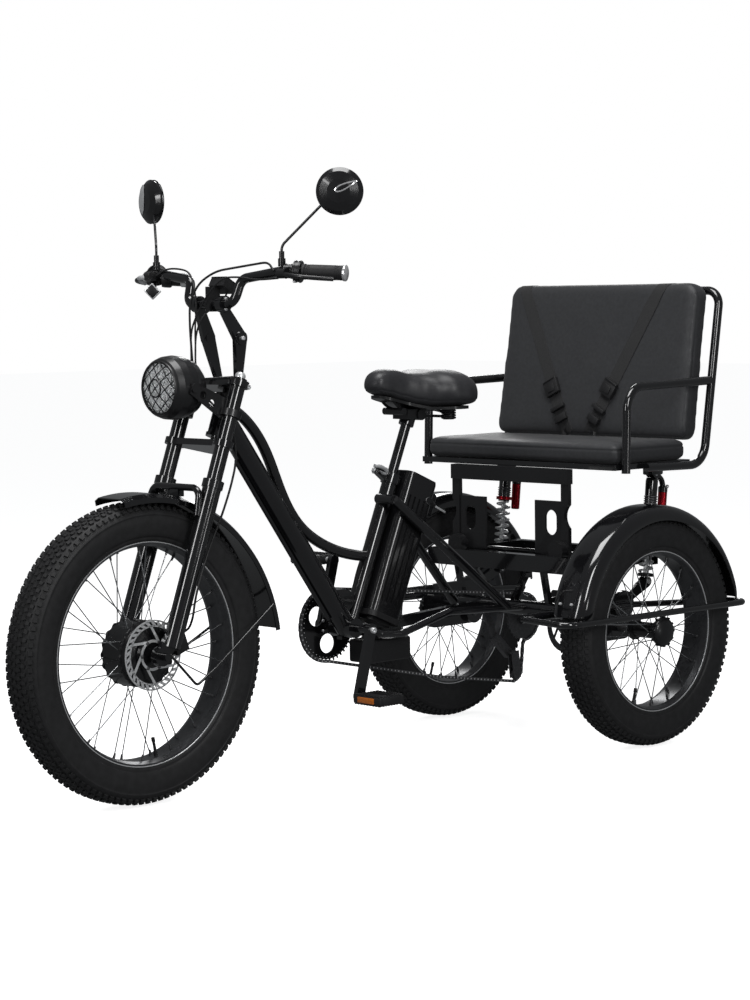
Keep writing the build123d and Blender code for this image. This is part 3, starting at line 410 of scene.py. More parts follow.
def tyre(name, node, body, centre, radius, rim_r):
    """Fat tyre with ribbed side walls and seven rows of tread blocks."""
    made, half, top = Shape(), 0.0475, radius - 0.006
    mid = (rim_r + top) / 2
    side = [(0.0365, rim_r - 0.001), (0.04, rim_r + 0.004), (0.0405, rim_r + 0.01),
            (0.044, rim_r + 0.014), (half - 0.0008, mid - 0.01), (half, mid + 0.004),
            (half - 0.001, top - 0.026), (half - 0.0002, top - 0.023), (half - 0.004, top - 0.016),
            (half - 0.013, top - 0.006), (0.022, top - 0.0022), (0.0, top)]
    profile = [(p.x, p.y) for p in smooth([(x, r, 0) for x, r in side], 3)]
    profile = [(-x, r) for x, r in profile] + profile[-2::-1]
    made.lathe(profile, 160, at=move(centre), closed=True)
    count = round(2 * pi * radius / TREAD_PITCH)
    for n in range(count):
        for x, offset, wide, long, turn, drop, tilt, high in TREAD_ROWS:
            for s in ((1, -1) if x else (1,)):
                a = 2 * pi * (n + offset + (0.25 if s < 0 else 0)) / count
                at = (move(centre) @ spin(a, "X") @ move((s * x, 0, top - drop))
                      @ spin(radians(s * tilt), "Y") @ spin(radians(s * turn), "Z"))
                made.add(*tread_block(wide / 2, long / 2, high), 0, at)
    made.piece(name, [RUBBER], body, "tyre", [node], sharp=40)


def rim_details(name, body, centre, rim_r, side, valve):
    """Bright rim edges, spoke nipples round the rim and a valve."""
    made = Shape()
    for s in (1, -1):
        made.lathe([(s * 0.0368, rim_r - 0.003), (s * 0.038, rim_r - 0.0022), (s * 0.038, rim_r - 0.0008),
                    (s * 0.0366, rim_r - 0.0004)], 120, 2, move(centre), closed=True)
    for n in range(36):
        a = 2 * pi * n / 36
        lean = -1 if n % 2 == 0 else 1
        place = move((lean * 0.012 * side, 0, rim_r - 0.0125))
        at = move(centre) @ spin(a - pi / 2, "X") @ place @ spin(pi / 2, "Y")
        made.lathe([(0, 0.0034), (0.003, 0.0032), (0.012, 0.0021)], 8, 0, at)
    at = move(centre) @ spin(radians(valve), "X") @ move((0, 0, rim_r - 0.012)) @ spin(pi / 2, "Y")
    made.lathe([(0, 0.005), (0.004, 0.0048), (0.01, 0.0036), (0.03, 0.0034), (0.031, 0.0044),
                (0.041, 0.0042)], 12, 1, at)
    made.piece(name, [DARK_STEEL, GRIP, STEEL], body, "steel")


def around(radius, a):
    """Offset at an angle about the X axis."""
    return Vector((0, radius * cos(a), radius * sin(a)))


def brake_disc(name, node, body, centre):
    """Brake rotor with slanted slots and a six-arm spider."""
    made, at = Shape(), move(centre)
    for inner, outer in ((0.076, 0.0798), (0.064, 0.067), (0.029, 0.035)):
        made.lathe([(-0.0009, inner), (-0.0009, outer), (0.0009, outer), (0.0009, inner)], 72, 0, at,
                   closed=True)

    def arm(a, first, last, lean, wide):
        foot = centre + around(first, a)
        tip = centre + around(last, a + radians(lean))
        long = (tip - foot).length
        made.block((long, wide, 0.0018), along(foot, tip, (1, 0, 0)) @ move((long / 2, 0, 0)))

    for n in range(30):
        arm(2 * pi * n / 30, 0.0662, 0.0765, 7, 0.0062)
    for n in range(6):
        a = 2 * pi * n / 6
        arm(a, 0.034, 0.0655, 34, 0.0058)
        bolt = centre + Vector((0.001, 0, 0)) + around(0.032, a)
        made.lathe([(0, 0.0042), (0.002, 0.004), (0.0026, 0.002)], 10, 1, move(bolt))
    made.piece(name, [STEEL, DARK_STEEL], body, "steel", [node])


def hub_cap(word, side, centre):
    """Domed cap of a rear hub, with ribs round its rim."""
    cap = Shape()
    at = move(centre) @ Matrix.Scale(side, 4, (1, 0, 0))
    cap.lathe([(0.044, 0.03), (0.045, 0.0352), (0.05, 0.0372), (0.056, 0.0366), (0.0615, 0.0325),
               (0.0655, 0.025), (0.068, 0.015), (0.0687, 0.0005)], 48, 0, at)
    for n in range(12):
        rib = at @ spin(2 * pi * n / 12, "X") @ move((0.052, 0, 0.0372))
        cap.block((0.015, 0.006, 0.003), rib, 0, 0.001)
    cap.piece(f"hub_cap_{word}", [SATIN], f"rear_wheel_{word}", "rim")


def motor_flanges(centre):
    """Scalloped spoke flanges of the hub motor."""
    flange = Shape()
    for x in (-0.0315, 0.0315):
        ring = []
        for j in range(144):
            a = 2 * pi * j / 144
            r = 0.0758 + 0.0024 * cos(18 * a)
            ring.append((r * cos(a), r * sin(a)))
        rows = [[(x + dx, y * size, z * size) for y, z in ring]
                for dx, size in ((-0.003, 0.96), (-0.0024, 1), (0.0024, 1), (0.003, 0.96))]
        flange.grid(rows, 0, close_u=True, at=move(centre), cap=True)
    flange.piece("motor_flanges", [SATIN], "front_wheel", "rim")


front_centre = Vector((0, Y_FRONT, Z_FRONT))
tyre("tyre_front", "front_tyre", "front_wheel", front_centre, 0.344, FRONT_RIM_R)
rim_details("nipples_front", "front_wheel", front_centre, FRONT_RIM_R, 1, 191.5)
brake_disc("disc_front", "front_rotor", "front_wheel", Vector((0.056, Y_FRONT, Z_FRONT)))
for side, word in SIDES:
    centre = Vector((side * X_REAR, Y_REAR, Z_REAR))
    tyre(f"tyre_rear_{word}", f"rear_tyre_{word}", f"rear_wheel_{word}", centre, 0.292, REAR_RIM_R)
    rim_details(f"nipples_rear_{word}", f"rear_wheel_{word}", centre, REAR_RIM_R, side, 163)
    hub_cap(word, side, centre)
motor_flanges(front_centre)


# ---------- headlamp
def headlamp():
    """Clear faceted lens in front of a bright bowl, with a diagonal grille and its rings."""
    at = move((0, -0.5885, 0.937)) @ spin(-pi / 2, "Z")
    bowl = Shape()
    bowl.lathe([(-0.0078, 0.056), (-0.008, 0.03), (-0.0082, 0.0215), (-0.005, 0.019), (-0.008, 0.015),
                (-0.0082, 0.0005)], 64, 0, at)
    for n in range(24):
        a = 2 * pi * n / 24
        for r, w in ((0.03, 0.0064), (0.041, 0.008), (0.05, 0.0088)):
            bowl.lathe([(0, w * 0.55), (0.0016, w * 0.42), (0.0024, w * 0.15)], 6, 0, at
                       @ move((-0.0079, r * cos(a + r * 30), r * sin(a + r * 30))))
    bowl.piece("lamp_bowl", [BOWL], "fork", "lens", ["headlamp_lens"])
    lens = Shape()
    lens.lathe([(-0.0052, 0.0562), (-0.003, 0.0562), (0.002, 0.045), (0.006, 0.028), (0.008, 0.001)],
               64, 0, at)
    lens.piece("lamp_lens", [GLASS], "fork", "lens")
    guard = Shape()
    reach = 0.0565
    for n in range(-2, 3):
        for lean in (40, -50):
            off, a = n * 0.0215, radians(lean)
            span = sqrt(reach ** 2 - off ** 2)
            ends = []
            for s in (-1, -0.5, 0, 0.5, 1):
                y, z = s * span * cos(a) - off * sin(a), s * span * sin(a) + off * cos(a)
                ends.append(at @ Vector((0.01 - 3.1 * (y * y + z * z), y, z)))
            guard.tube(smooth(ends, 3), 0.0013, 6)
    ring = [at @ (Vector((0.0104, 0, 0)) + around(0.0195, 2 * pi * j / 40)) for j in range(40)]
    guard.tube(ring, 0.0021, 8, closed=True)
    guard.lathe([(-0.006, 0.0565), (0.0008, 0.0572), (0.0016, 0.059), (0.0004, 0.0612), (-0.006, 0.063)],
                64, 0, at, closed=True)
    guard.piece("lamp_grille", [SATIN], "fork", "plastic")


headlamp()


# ---------- cockpit
def on_bar(side, share):
    """Point on the handlebar's swept end."""
    a, b = mm(215, -402, 1196), mm(342, -328, 1189)
    p = a + (b - a) * share
    return Vector((side * p.x, p.y, p.z))


def bolt_head(made, place, out, radius, mat=1):
    """Hexagon socket bolt head standing on a surface."""
    at = along(place, place + Vector(out))
    made.lathe([(0, radius), (radius * 0.9, radius), (radius * 1.1, radius * 0.86),
                (radius * 1.1, radius * 0.5), (radius * 0.6, radius * 0.46)], 14, mat, at)


def grips():
    """Ribbed grips with bright ends, collars and lever clamps with their bolts."""
    made = Shape()
    for side, _ in SIDES:
        start, end = on_bar(side, 0.33), on_bar(side, 0.97)
        long, at = (end - start).length, along(start, end)
        profile = [(0, 0.0115), (0.0002, 0.0175), (0.006, 0.0178), (0.0066, 0.0162)]
        for n in (1, 2, 3, 19, 20, 21):
            x = 0.0066 + (long - 0.012) * n / 22
            profile += [(x - 0.0016, 0.0168), (x - 0.0006, 0.016), (x + 0.0006, 0.016),
                        (x + 0.0016, 0.0168)]
        profile += [(long - 0.003, 0.0166), (long, 0.0172), (long + 0.0002, 0.0115)]
        made.lathe(profile, 40, 0, at)
        made.lathe([(long + 0.0004, 0.0115), (long + 0.0004, 0.018), (long + 0.0015, 0.0184),
                    (long + 0.0055, 0.0184), (long + 0.007, 0.017), (long + 0.009, 0.012),
                    (long + 0.0095, 0.001)], 40, 1, at)
    made.piece("grip_sleeves", [GRIP, CHROME], "fork", "grip_rubber", ["grips"])
    small = Shape()
    for side, _ in SIDES:
        for share, radius in ((0.06, 0.0165), (0.15, 0.0165), (0.22, 0.0246), (0.29, 0.0246)):
            place = on_bar(side, share)
            small.lathe([(-0.0012, radius - 0.002), (-0.001, radius + 0.0006), (0.001, radius + 0.0006),
                         (0.0012, radius - 0.002)], 32, 0, along(place, on_bar(side, 1)), closed=True)
        bolt_head(small, on_bar(side, 0.1) + mm(0, 0, 15), (0, 0, 1), 0.0032)
        bolt_head(small, on_bar(side, 0.25) + mm(0, -12, -21), (0, -0.5, -0.9), 0.003)
        small.block(mm(14, 10, 8), move(on_bar(side, 0.25) + mm(0, 22, 8)), 2, 0.0015)
        small.block(mm(9, 6, 4), move(on_bar(side, 0.25) + mm(side * 2, 27, 8)), 3, 0.001)
    small.piece("bar_controls", [SATIN, STEEL, PLASTIC, RED], "fork", "plastic")


grips()


CABLE_RUNS = [                   # far lever, near lever and display, all held along the bar and the risers
    [(-206, -420, 1192), (-176, -412, 1206), (-128, -414, 1206), (-82, -424, 1196), (-44, -442, 1166),
     (-28, -450, 1120), (-30, -452, 1070), (-28, -454, 1018), (-26, -458, 966)],
    [(214, -414, 1180), (150, -420, 1178), (100, -432, 1184), (60, -446, 1180), (26, -456, 1150),
     (-8, -458, 1110), (-30, -462, 1066), (-34, -462, 1014), (-30, -462, 962), (-6, -460, 918),
     (34, -446, 880), (58, -424, 846), (63, -416, 805)],
    [(20, -392, 1160), (10, -404, 1130), (-4, -446, 1100), (-20, -456, 1060), (-24, -458, 1012),
     (-20, -460, 968)],
]


def control_cables():
    """Cables beside the brake hose, from the bar's ends and the display down behind the lamp."""
    cables = Shape()
    for run in CABLE_RUNS:
        cables.tube(smooth([mm(*p) for p in run], 5), 0.0022, 8)
    cables.piece("control_cables", [GRIP], "fork", "grip_rubber")


def cockpit_trim():
    """Bell, display face, riser and fork bolts, the far lever's grip and the switch block."""
    made = Shape()
    axis = along(mm(-199, -402, 1184), mm(-155, -358, 1180))
    made.lathe([(-0.005, 0.012), (-0.004, 0.0186), (0.002, 0.0196), (0.015, 0.0196), (0.018, 0.0182),
                (0.02, 0.015)], 32, 0, axis)
    made.lathe([(0.04, 0.015), (0.042, 0.0166), (0.056, 0.0166), (0.061, 0.015), (0.0645, 0.01),
                (0.0655, 0.0005)], 28, 1, axis)
    tilt = along(mm(20, -408, 1166), mm(21, -408, 1166), (0, 0.5, 0.87))
    made.block(mm(54, 42, 3), tilt @ move(mm(0, 0, 11)), 0, 0.0014)
    made.block(mm(42, 29, 1.2), tilt @ move(mm(0, 1, 12.6)), 2, 0.0005)
    for side, _ in SIDES:
        for x, y, z, radius in ((65, -392, 1046, 0.005), (53, -431, 1136, 0.0034), (53, -431, 1112, 0.0034),
                                (40, -372, 950, 0.0045)):
            bolt_head(made, mm(side * x, y, z), (side, 0, 0), radius)
        top = mm(side * 84, -592 - 46 * STEER_SIN + 637 * STEER_COS, 345 + 46 * STEER_COS + 637 * STEER_SIN)
        tip = top + mm(0, STEER_COS * 9, STEER_SIN * 9)
        made.lathe([(-0.004, 0.012), (0.002, 0.0124), (0.006, 0.011), (0.009, 0.008)], 24, 1,
                   along(top, tip))
        bolt_head(made, top + mm(side * 15, 8, -24), (side, 0, 0), 0.006)
    lever = [mm(-232, -418, 1190), mm(-262, -425, 1187), mm(-290, -398, 1181), mm(-312, -368, 1176)]
    made.tube(smooth(lever, 5), 0.0057, 12, 1)
    slope = Vector((0.5, 0.52, 0.69)).normalized()
    stack = along(mm(-230, -412, 1156), mm(-230, -412, 1156) + slope, (-0.7, 0.69, 0))
    made.block(mm(24, 26, 26), stack, 0, 0.003)
    made.tube([mm(-231, -410, 1160), mm(-236, -402, 1178), mm(-242, -392, 1192)], 0.0075, 10, 0)
    for n in (-1, 0, 1):
        made.block(mm(27, 29, 4.2), stack @ move(mm(0, 0, 9.5 * n)), 1, 0.001)
    made.piece("cockpit_trim", [SATIN, STEEL, GLOSS_PLASTIC], "fork", "plastic")


def chrome_drop(glass, at):
    """Plain drop of chrome on a mirror's domed back."""
    outline = []
    for j in range(28):
        a = 2 * pi * j / 28
        u = 0.026 * cos(a)
        v = 0.0088 * sin(a) * (1.0 - 0.78 * (cos(a) + 1) / 2)
        tilt = radians(24)
        y, z = u * cos(tilt) - v * sin(tilt) + 0.017, u * sin(tilt) + v * cos(tilt) + 0.011
        x = level_curve([(0, 0.0172), (0.026, 0.0152), (0.044, 0.0092), (0.053, 0.001)],
                        sqrt(y * y + z * z))
        outline.append(at @ Vector((x, y, z)))
    glass.tube(outline, 0.0017, 6, 2, closed=True)
    glass.add(outline, [tuple(range(28))], 3)


def painted_reflection_panel(glass, at):
    """Painted reflection: bright steel oval on the far mirror's domed back, standing in for the glossy
    reflection of the surroundings seen there.
    """
    rows = []
    for j in range(9):
        share = j / 8
        row = []
        for k in range(24):
            a = 2 * pi * k / 24
            y, z = -0.018 + 0.019 * share * cos(a), 0.006 + 0.036 * share * sin(a)
            x = level_curve([(0, 0.0178), (0.026, 0.0158), (0.044, 0.0098), (0.056, 0.0016)],
                            sqrt(y * y + z * z))
            row.append((x + 0.0004, y, z))
        rows.append(row)
    # material 4 is bright steel: this oval is a painted reflection, not a part of the mirror
    glass.grid(rows, 4, close_u=True, at=at)


def mirror_faces():
    """Both mirror glasses with their rims, the chrome drop on the near back and the painted reflection on
    the far back.
    """
    glass = Shape()
    for head_x, turn, back in ((332, 38, chrome_drop), (-327, -12, painted_reflection_panel)):
        at = move(mm(head_x, -334, 1370)) @ spin(radians(-90 + turn), "Z")
        glass.lathe([(-0.0088, 0.051), (-0.0096, 0.05), (-0.0098, 0.047), (-0.0094, 0.0005)], 56, 0, at)
        glass.lathe([(-0.009, 0.0528), (-0.0104, 0.0522), (-0.0104, 0.05), (-0.009, 0.0494)], 56, 1, at,
                    closed=True)
        back(glass, at)
    glass.piece("mirror_faces", [MIRROR, GLOSS_PLASTIC, CHROME, RIM, STEEL], "fork", "plastic")


control_cables()
cockpit_trim()
mirror_faces()


# ---------- cushions
def inflate(name, points, faces, voxel, pressure, cap, inset, evening):
    """Closed form remeshed, blown up as cloth, held within cap, evened out and subdivided once."""
    low, high = (Vector([pick(p[i] for p in points) for i in range(3)]) for pick in (min, max))
    middle, size = (low + high) / 2, high - low
    shrink = [(size[i] - 2 * inset) / size[i] for i in range(3)]
    data = bpy.data.meshes.new(name)
    shrunk = [[middle[i] + (p[i] - middle[i]) * shrink[i] for i in range(3)] for p in points]
    data.from_pydata(shrunk, [], faces)
    made = link(name, data)
    weld = bmesh.new()
    weld.from_mesh(data)
    bmesh.ops.remove_doubles(weld, verts=weld.verts, dist=0.00005)
    bmesh.ops.recalc_face_normals(weld, faces=weld.faces)
    weld.to_mesh(data)
    weld.free()
    remesh = made.modifiers.new("remesh", "REMESH")
    remesh.mode, remesh.voxel_size, remesh.use_smooth_shade = "VOXEL", voxel, True
    made = bake(made)
    rest = [v.co.copy() for v in made.data.vertices]
    cloth = made.modifiers.new("cloth", "CLOTH")
    cloth.settings.quality = 4
    cloth.settings.use_pressure = True
    cloth.settings.uniform_pressure_force = pressure
    cloth.settings.effector_weights.gravity = 0
    cloth.point_cache.frame_start, cloth.point_cache.frame_end = 1, 20
    for step in range(1, 21):
        scene.frame_set(step)
    made = bake(made)
    scene.frame_set(1)
    for vertex, start in zip(made.data.vertices, rest):
        swell = vertex.co - start
        if swell.length > cap:
            vertex.co = start + swell * (cap / swell.length)
    even = made.modifiers.new("even", "SMOOTH")
    even.factor, even.iterations = 0.5, evening
    finer = made.modifiers.new("finer", "SUBSURF")
    finer.levels = finer.render_levels = 1
    return bake(made)


def bake(made):
    """The object with its modifiers applied."""
    bpy.context.view_layer.update()
    shown = made.evaluated_get(bpy.context.evaluated_depsgraph_get())
    data = bpy.data.meshes.new_from_object(shown)
    made.modifiers.clear()
    made.data = data
    data.polygons.foreach_set("use_smooth", [True] * len(data.polygons))
    return made


def node_mesh(node):
    """A CAD node's own points and faces."""
    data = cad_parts[node].data
    return [v.co.copy() for v in data.vertices], [tuple(f.vertices) for f in data.polygons]


def fall_off(ratio):
    """Bell curve that is 1 at zero."""
    return 2.718 ** (-ratio ** 2)


def seam(made, distance, width, depth, centre):
    """Presses a narrow seam into the surface where distance(point) is near zero."""
    for vertex in made.data.vertices:
        away = distance(vertex.co)
        if abs(away) < 3 * width:
            pull = depth * fall_off(away / width)
            vertex.co += (centre(vertex.co) - vertex.co).normalized() * pull


def cushion(name, node, voxel, pressure, cap, inset, evening, mat, distance, centre):
    """One upholstered pad with a sewn seam, standing for its CAD block."""
    made = inflate(name, *node_mesh(node), voxel, pressure, cap, inset, evening)
    made.data.materials.clear()
    made.data.materials.append(mat)
    seam(made, distance, 0.0022, 0.0022, centre)
    dress(made, "frame", [node])
    return made


bench_low, bench_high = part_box("bench_cushion")
cushion("bench_pad", "bench_cushion", 0.006, 4.0, 0.005, 0.0015, 6, VINYL,
        lambda p: p.z - (bench_high.z - 0.015),
        lambda p: Vector((p.x * 0.9, (bench_low.y + bench_high.y) / 2 + (p.y - 0.741) * 0.8, p.z)))
LEAN = radians(9.2)
BACK_Y, BACK_Z, BACK_SLOPE = 0.869, 0.766, 0.162
BACK_OUT = Vector((0, cos(LEAN), -sin(LEAN)))
BACK_UP = Vector((0, sin(LEAN), cos(LEAN)))
BACK_FOOT = Vector((0, BACK_Y, BACK_Z))
backrest = cushion("back_pad", "backrest_cushion", 0.006, 4.0, 0.005, 0.001, 24, VINYL,
                   lambda p: (p - BACK_FOOT).dot(BACK_OUT) - 0.013,
                   lambda p: Vector((p.x * 0.9, 0, 0)) + BACK_FOOT + BACK_OUT * 0.013 + BACK_UP * 0.205)


def lower_hem(made, drop, reach):
    """Draws the bottom edge of the backrest down toward the bench."""
    for vertex in made.data.vertices:
        height = (vertex.co - BACK_FOOT).dot(BACK_UP)
        if height < reach:
            vertex.co -= BACK_UP * drop * (1 - max(height, 0) / reach)


lower_hem(backrest, 0.007, 0.05)


def saddle():
    """Broad saddle: raised nose, dipped middle, two rear lobes and a deep skirt."""
    wide = [(68, 10), (74, 24), (84, 33), (110, 39), (150, 46), (190, 66), (226, 96), (262, 122), (300, 130),
            (328, 122), (343, 102), (351, 60)]
    top = [(68, 930), (74, 943), (88, 955), (112, 961), (140, 959), (180, 950), (215, 950), (260, 957),
           (300, 956), (330, 948), (345, 934), (351, 918)]
    low = [(68, 912), (80, 904), (110, 896), (150, 884), (190, 873), (220, 867), (300, 866), (335, 867),
           (351, 878)]
    made, rows, count = Shape(), [], 44
    for i in range(count + 1):
        y = 68 + 283 * (0.5 - 0.5 * cos(pi * i / count))
        w, t, b = level_curve(wide, y), level_curve(top, y), level_curve(low, y)
        row = []
        for j in range(48):
            a = 2 * pi * j / 48
            c, s = cos(a), sin(a)
            x = w * (abs(c) ** (0.72 if s >= 0 else 0.5)) * (1 if c >= 0 else -1)
            waist = b + 0.36 * (t - b)
            z = waist + (t - waist) * abs(s) ** 0.8 if s >= 0 else waist - (waist - b) * abs(s) ** 0.45
            if s > 0:
                lobe = max(0.0, min(1.0, (y - 200) / 60))
                z -= lobe * s * 5.0 * fall_off(x / 30)
            row.append(mm(x, y, z))
        rows.append(row)
    made.grid(rows, 0, close_u=True, cap=True)
    pad = inflate("saddle_pad", made.points, made.faces, 0.004, 1.0, 0.0015, 0.0, 36)
    pad.data.materials.clear()
    pad.data.materials.append(SADDLE_VINYL)

    def above_seam(p):
        bottom = level_curve(low, p.y * 1000)
        return p.z - (bottom + 0.16 * (level_curve(top, p.y * 1000) - bottom)) * MM

    seam(pad, above_seam, 0.0018, 0.0014, lambda p: Vector((0, p.y, p.z)))
    dress(pad, "frame", ["saddle_cushion"])


saddle()


# ---------- seat belts
BELT_HALF = 0.019                # half the webbing's width
ACROSS = (-1, -0.5, 0, 0.5, 1)
BUCKLES = ((0.655, 0.01, 0.046), (0.7, 0.038, 0.046), (0.83, 0.012, 0.046), (0.9, 0.02, 0.04))


def belts():
    """Webbing over the top of the backrest and down its front, with ladder buckles."""
    tree = BVHTree.FromObject(backrest, bpy.context.evaluated_depsgraph_get())
    high = max(v.co.z for v in backrest.data.vertices)
    top_y = BACK_Y + (high - BACK_Z) * BACK_SLOPE
    webs, clasps = Shape(), Shape()
    for top_x, foot_x in ((213, 8), (-271, -66)):
        top, foot = Vector((top_x * MM, 0, high)), mm(foot_x, 0, 768)
        line = foot - top
        sideways = Vector((-line.z, 0, line.x)).normalized() * BELT_HALF
        rows = []

        def row(places, normal):
            outer = [p + normal * 0.0018 for p in places]
            rows.append(outer + [p + normal * 0.0004 for p in reversed(places)])

        for back in (50, 38, 26, 14, 5):
            places = []
            for k in ACROSS:
                start = Vector((top.x + BELT_HALF * k, top_y + back * MM, 1.3))
                hit = tree.ray_cast(start, Vector((0, 0, -1)))[0]
                places.append(hit or Vector((start.x, start.y, high)))
            row(places, Vector((0, 0.3, 1)).normalized())
        for step in range(31):
            middle = top + line * (0.012 + 0.988 * step / 30)
            places = []
            for k in ACROSS:
                lean = sideways * k if step > 2 else Vector((BELT_HALF * k, 0, 0))
                start = Vector((middle.x + lean.x, 0.6, middle.z + lean.z))
                hit = tree.ray_cast(start, Vector((0, 1, 0)))[0]
                surface = BACK_Y + (start.z - BACK_Z) * BACK_SLOPE
                places.append(hit or Vector((start.x, surface, start.z)))
            row(places, -BACK_OUT)
        webs.grid(rows, 0, close_u=True, cap=True)
        down = (Vector((line.x, 0, 0)) + BACK_UP * line.z).normalized()
        for share, long, wide in BUCKLES:
            middle = top + line * share
            hit = tree.ray_cast(Vector((middle.x, 0.6, middle.z)), Vector((0, 1, 0)))[0]
            middle = hit or Vector((middle.x, 0.88, middle.z))
            at = along(middle - BACK_OUT * 0.0075, middle - BACK_OUT * 0.0075 + down, -BACK_OUT)
            clasps.block((long, wide, 0.011), at, 0, 0.0025)
            if long > 0.03:
                clasps.block((0.022, 0.024, 0.004), at @ move((0, 0, 0.0062)), 0, 0.0015)
                clasps.block((0.003, 0.04, 0.003), at @ move((-0.022, 0, 0.0058)), 1, 0.0008)
    webs.piece("belt_webbing", [WEBBING], "frame", "webbing", ["seat_belts"])
    clasps.piece("belt_buckles", [PLASTIC, SATIN], "frame", "plastic")


belts()


# ---------- shocks
def shock(name, side):
    """Coil shock with a piggy-back reservoir."""
    made = Shape()
    foot, head = mm(side * 256, 800, 400), mm(side * 256, 832, 676)
    at, long = along(foot, head), (head - foot).length
    made.lathe([(0.01, 0.006), (long - 0.1, 0.006)], 20, 2, at)
    made.lathe([(long - 0.096, 0.01), (long - 0.096, 0.015), (long - 0.02, 0.016),
                (long - 0.012, 0.014), (long - 0.012, 0.006)], 28, 0, at)
    made.lathe([(long - 0.092, 0.015), (long - 0.092, 0.0208), (long - 0.084, 0.0208),
                (long - 0.083, 0.016)], 32, 1, at)
    for n in range(4):
        x = long - 0.08 + 0.006 * n
        made.lathe([(x, 0.0155), (x + 0.001, 0.0176), (x + 0.003, 0.0176), (x + 0.004, 0.0155)], 32, 3, at)
    made.lathe([(0.012, 0.008), (0.012, 0.02), (0.02, 0.0205), (0.022, 0.012)], 32, 0, at)
    turns, steps = 9.5, 18
    low, high = 0.024, long - 0.097
    coil = []
    for n in range(int(turns * steps) + 1):
        a = 2 * pi * n / steps
        x = low + (high - low) * n / (turns * steps)
        coil.append(at @ (Vector((x, 0, 0)) + around(0.0165, a)))
    made.tube(coil, 0.003, 8, 2)
    for end in (foot, head):
        for half, bore, radius, turned, mat in ((0.0125, 0.005, 0.0115, 24, 0),
                                                (0.0145, 0.0046, 0.0062, 16, 2)):
            made.lathe([(-half, bore), (-half, radius), (half, radius), (half, bore)], turned, mat,
                       move(end))
    bottom, top = mm(side * 256, 866, 556), mm(side * 256, 874, 640)
    can, tall = along(bottom, top), (top - bottom).length
    made.lathe([(0, 0.008), (0.002, 0.0112), (tall - 0.016, 0.0118), (tall - 0.015, 0.01)], 28, 1, can)
    made.lathe([(tall - 0.016, 0.01), (tall - 0.015, 0.0122), (tall - 0.003, 0.0122), (tall, 0.01)],
               28, 0, can)
    made.tube(smooth([mm(side * 256, 834, 662), mm(side * 256, 852, 668), mm(side * 256, 868, 656),
                      mm(side * 256, 873, 638)], 5), 0.0072, 14, 0)
    bolt_head(made, mm(side * 268, 874, 640), (side, 0, 0), 0.0046, 2)
    made.block(mm(34, 44, 26), move(mm(side * 256, 834, 685)), 0, 0.004)
    made.piece(name, [GLOSS, RED, STEEL, DARK_STEEL], "frame", "frame_paint", ["shocks"])


for side, word in SIDES:
    shock(f"shock_{word}", side)


# ---------- drive
def chain():
    """Roller chain: plates and pins along the closed loop."""
    path = []
    crank, cog = Vector((CRANK_Y, CRANK_Z)), Vector((Y_REAR, Z_REAR))
    for n in range(25):
        a = radians(90 - 180 * n / 24)
        path.append(cog + 0.06225 * Vector((cos(a), sin(a))))
    path += [Vector((0.676, 0.142)), Vector((0.652, 0.126)), Vector((0.371, 0.169))]
    for n in range(33):
        a = radians(270 - 180 * n / 32)
        path.append(crank + 0.08925 * Vector((cos(a), sin(a))))
    path.append(path[0])
    lengths = [(b - a).length for a, b in zip(path, path[1:])]
    total = sum(lengths)
    count = round(total / CHAIN_PITCH / 2) * 2
    pitch = total / count

    def at_length(s):
        for (a, b), d in zip(zip(path, path[1:]), lengths):
            if s <= d:
                return a + (b - a) * (s / d)
            s -= d
        return path[-1]

    made = Shape()
    spots = [at_length(pitch * n) for n in range(count)]
    for n, spot in enumerate(spots):
        after = spots[(n + 1) % count]
        a, b = Vector((CHAIN_X, spot.x, spot.y)), Vector((CHAIN_X, after.x, after.y))
        out = 0.0031 if n % 2 else 0.0022
        for s in (-1, 1):
            made.block(((b - a).length * 1.45, 0.0075, 0.0009), along(a, b, (1, 0, 0))
                       @ move(((b - a).length / 2, 0, s * out)))
        made.lathe([(-0.0036, 0.002), (0.0036, 0.002)], 8, 1, move(a))
    made.piece("chain_links", [DARK_STEEL, STEEL], "frame", "steel", ["chain"])
    teeth = Shape()
    for n in range(42):
        a = 2 * pi * n / 42
        place = Vector((CHAIN_X, CRANK_Y, CRANK_Z)) + around(0.0865, a)
        teeth.block((0.0018, 0.0085, 0.0052), move(place) @ spin(a, "X"), 0, 0.0006)
        hole = Vector((-0.0636, CRANK_Y, CRANK_Z)) + around(0.0795, a)
        teeth.lathe([(0, 0.0014), (0.0004, 0.0011)], 6, 1, move(hole))
    for n in range(5):
        spot = Vector((-0.064, CRANK_Y, CRANK_Z)) + around(0.021, 2 * pi * n / 5)
        bolt_head(teeth, spot, (1, 0, 0), 0.0034)
    for side, _ in SIDES:
        bolt_head(teeth, Vector((side * 0.0925, CRANK_Y, CRANK_Z)), (side, 0, 0), 0.0075)
    teeth.piece("chainring_teeth", [SATIN, STEEL], "crank", "steel")


chain()


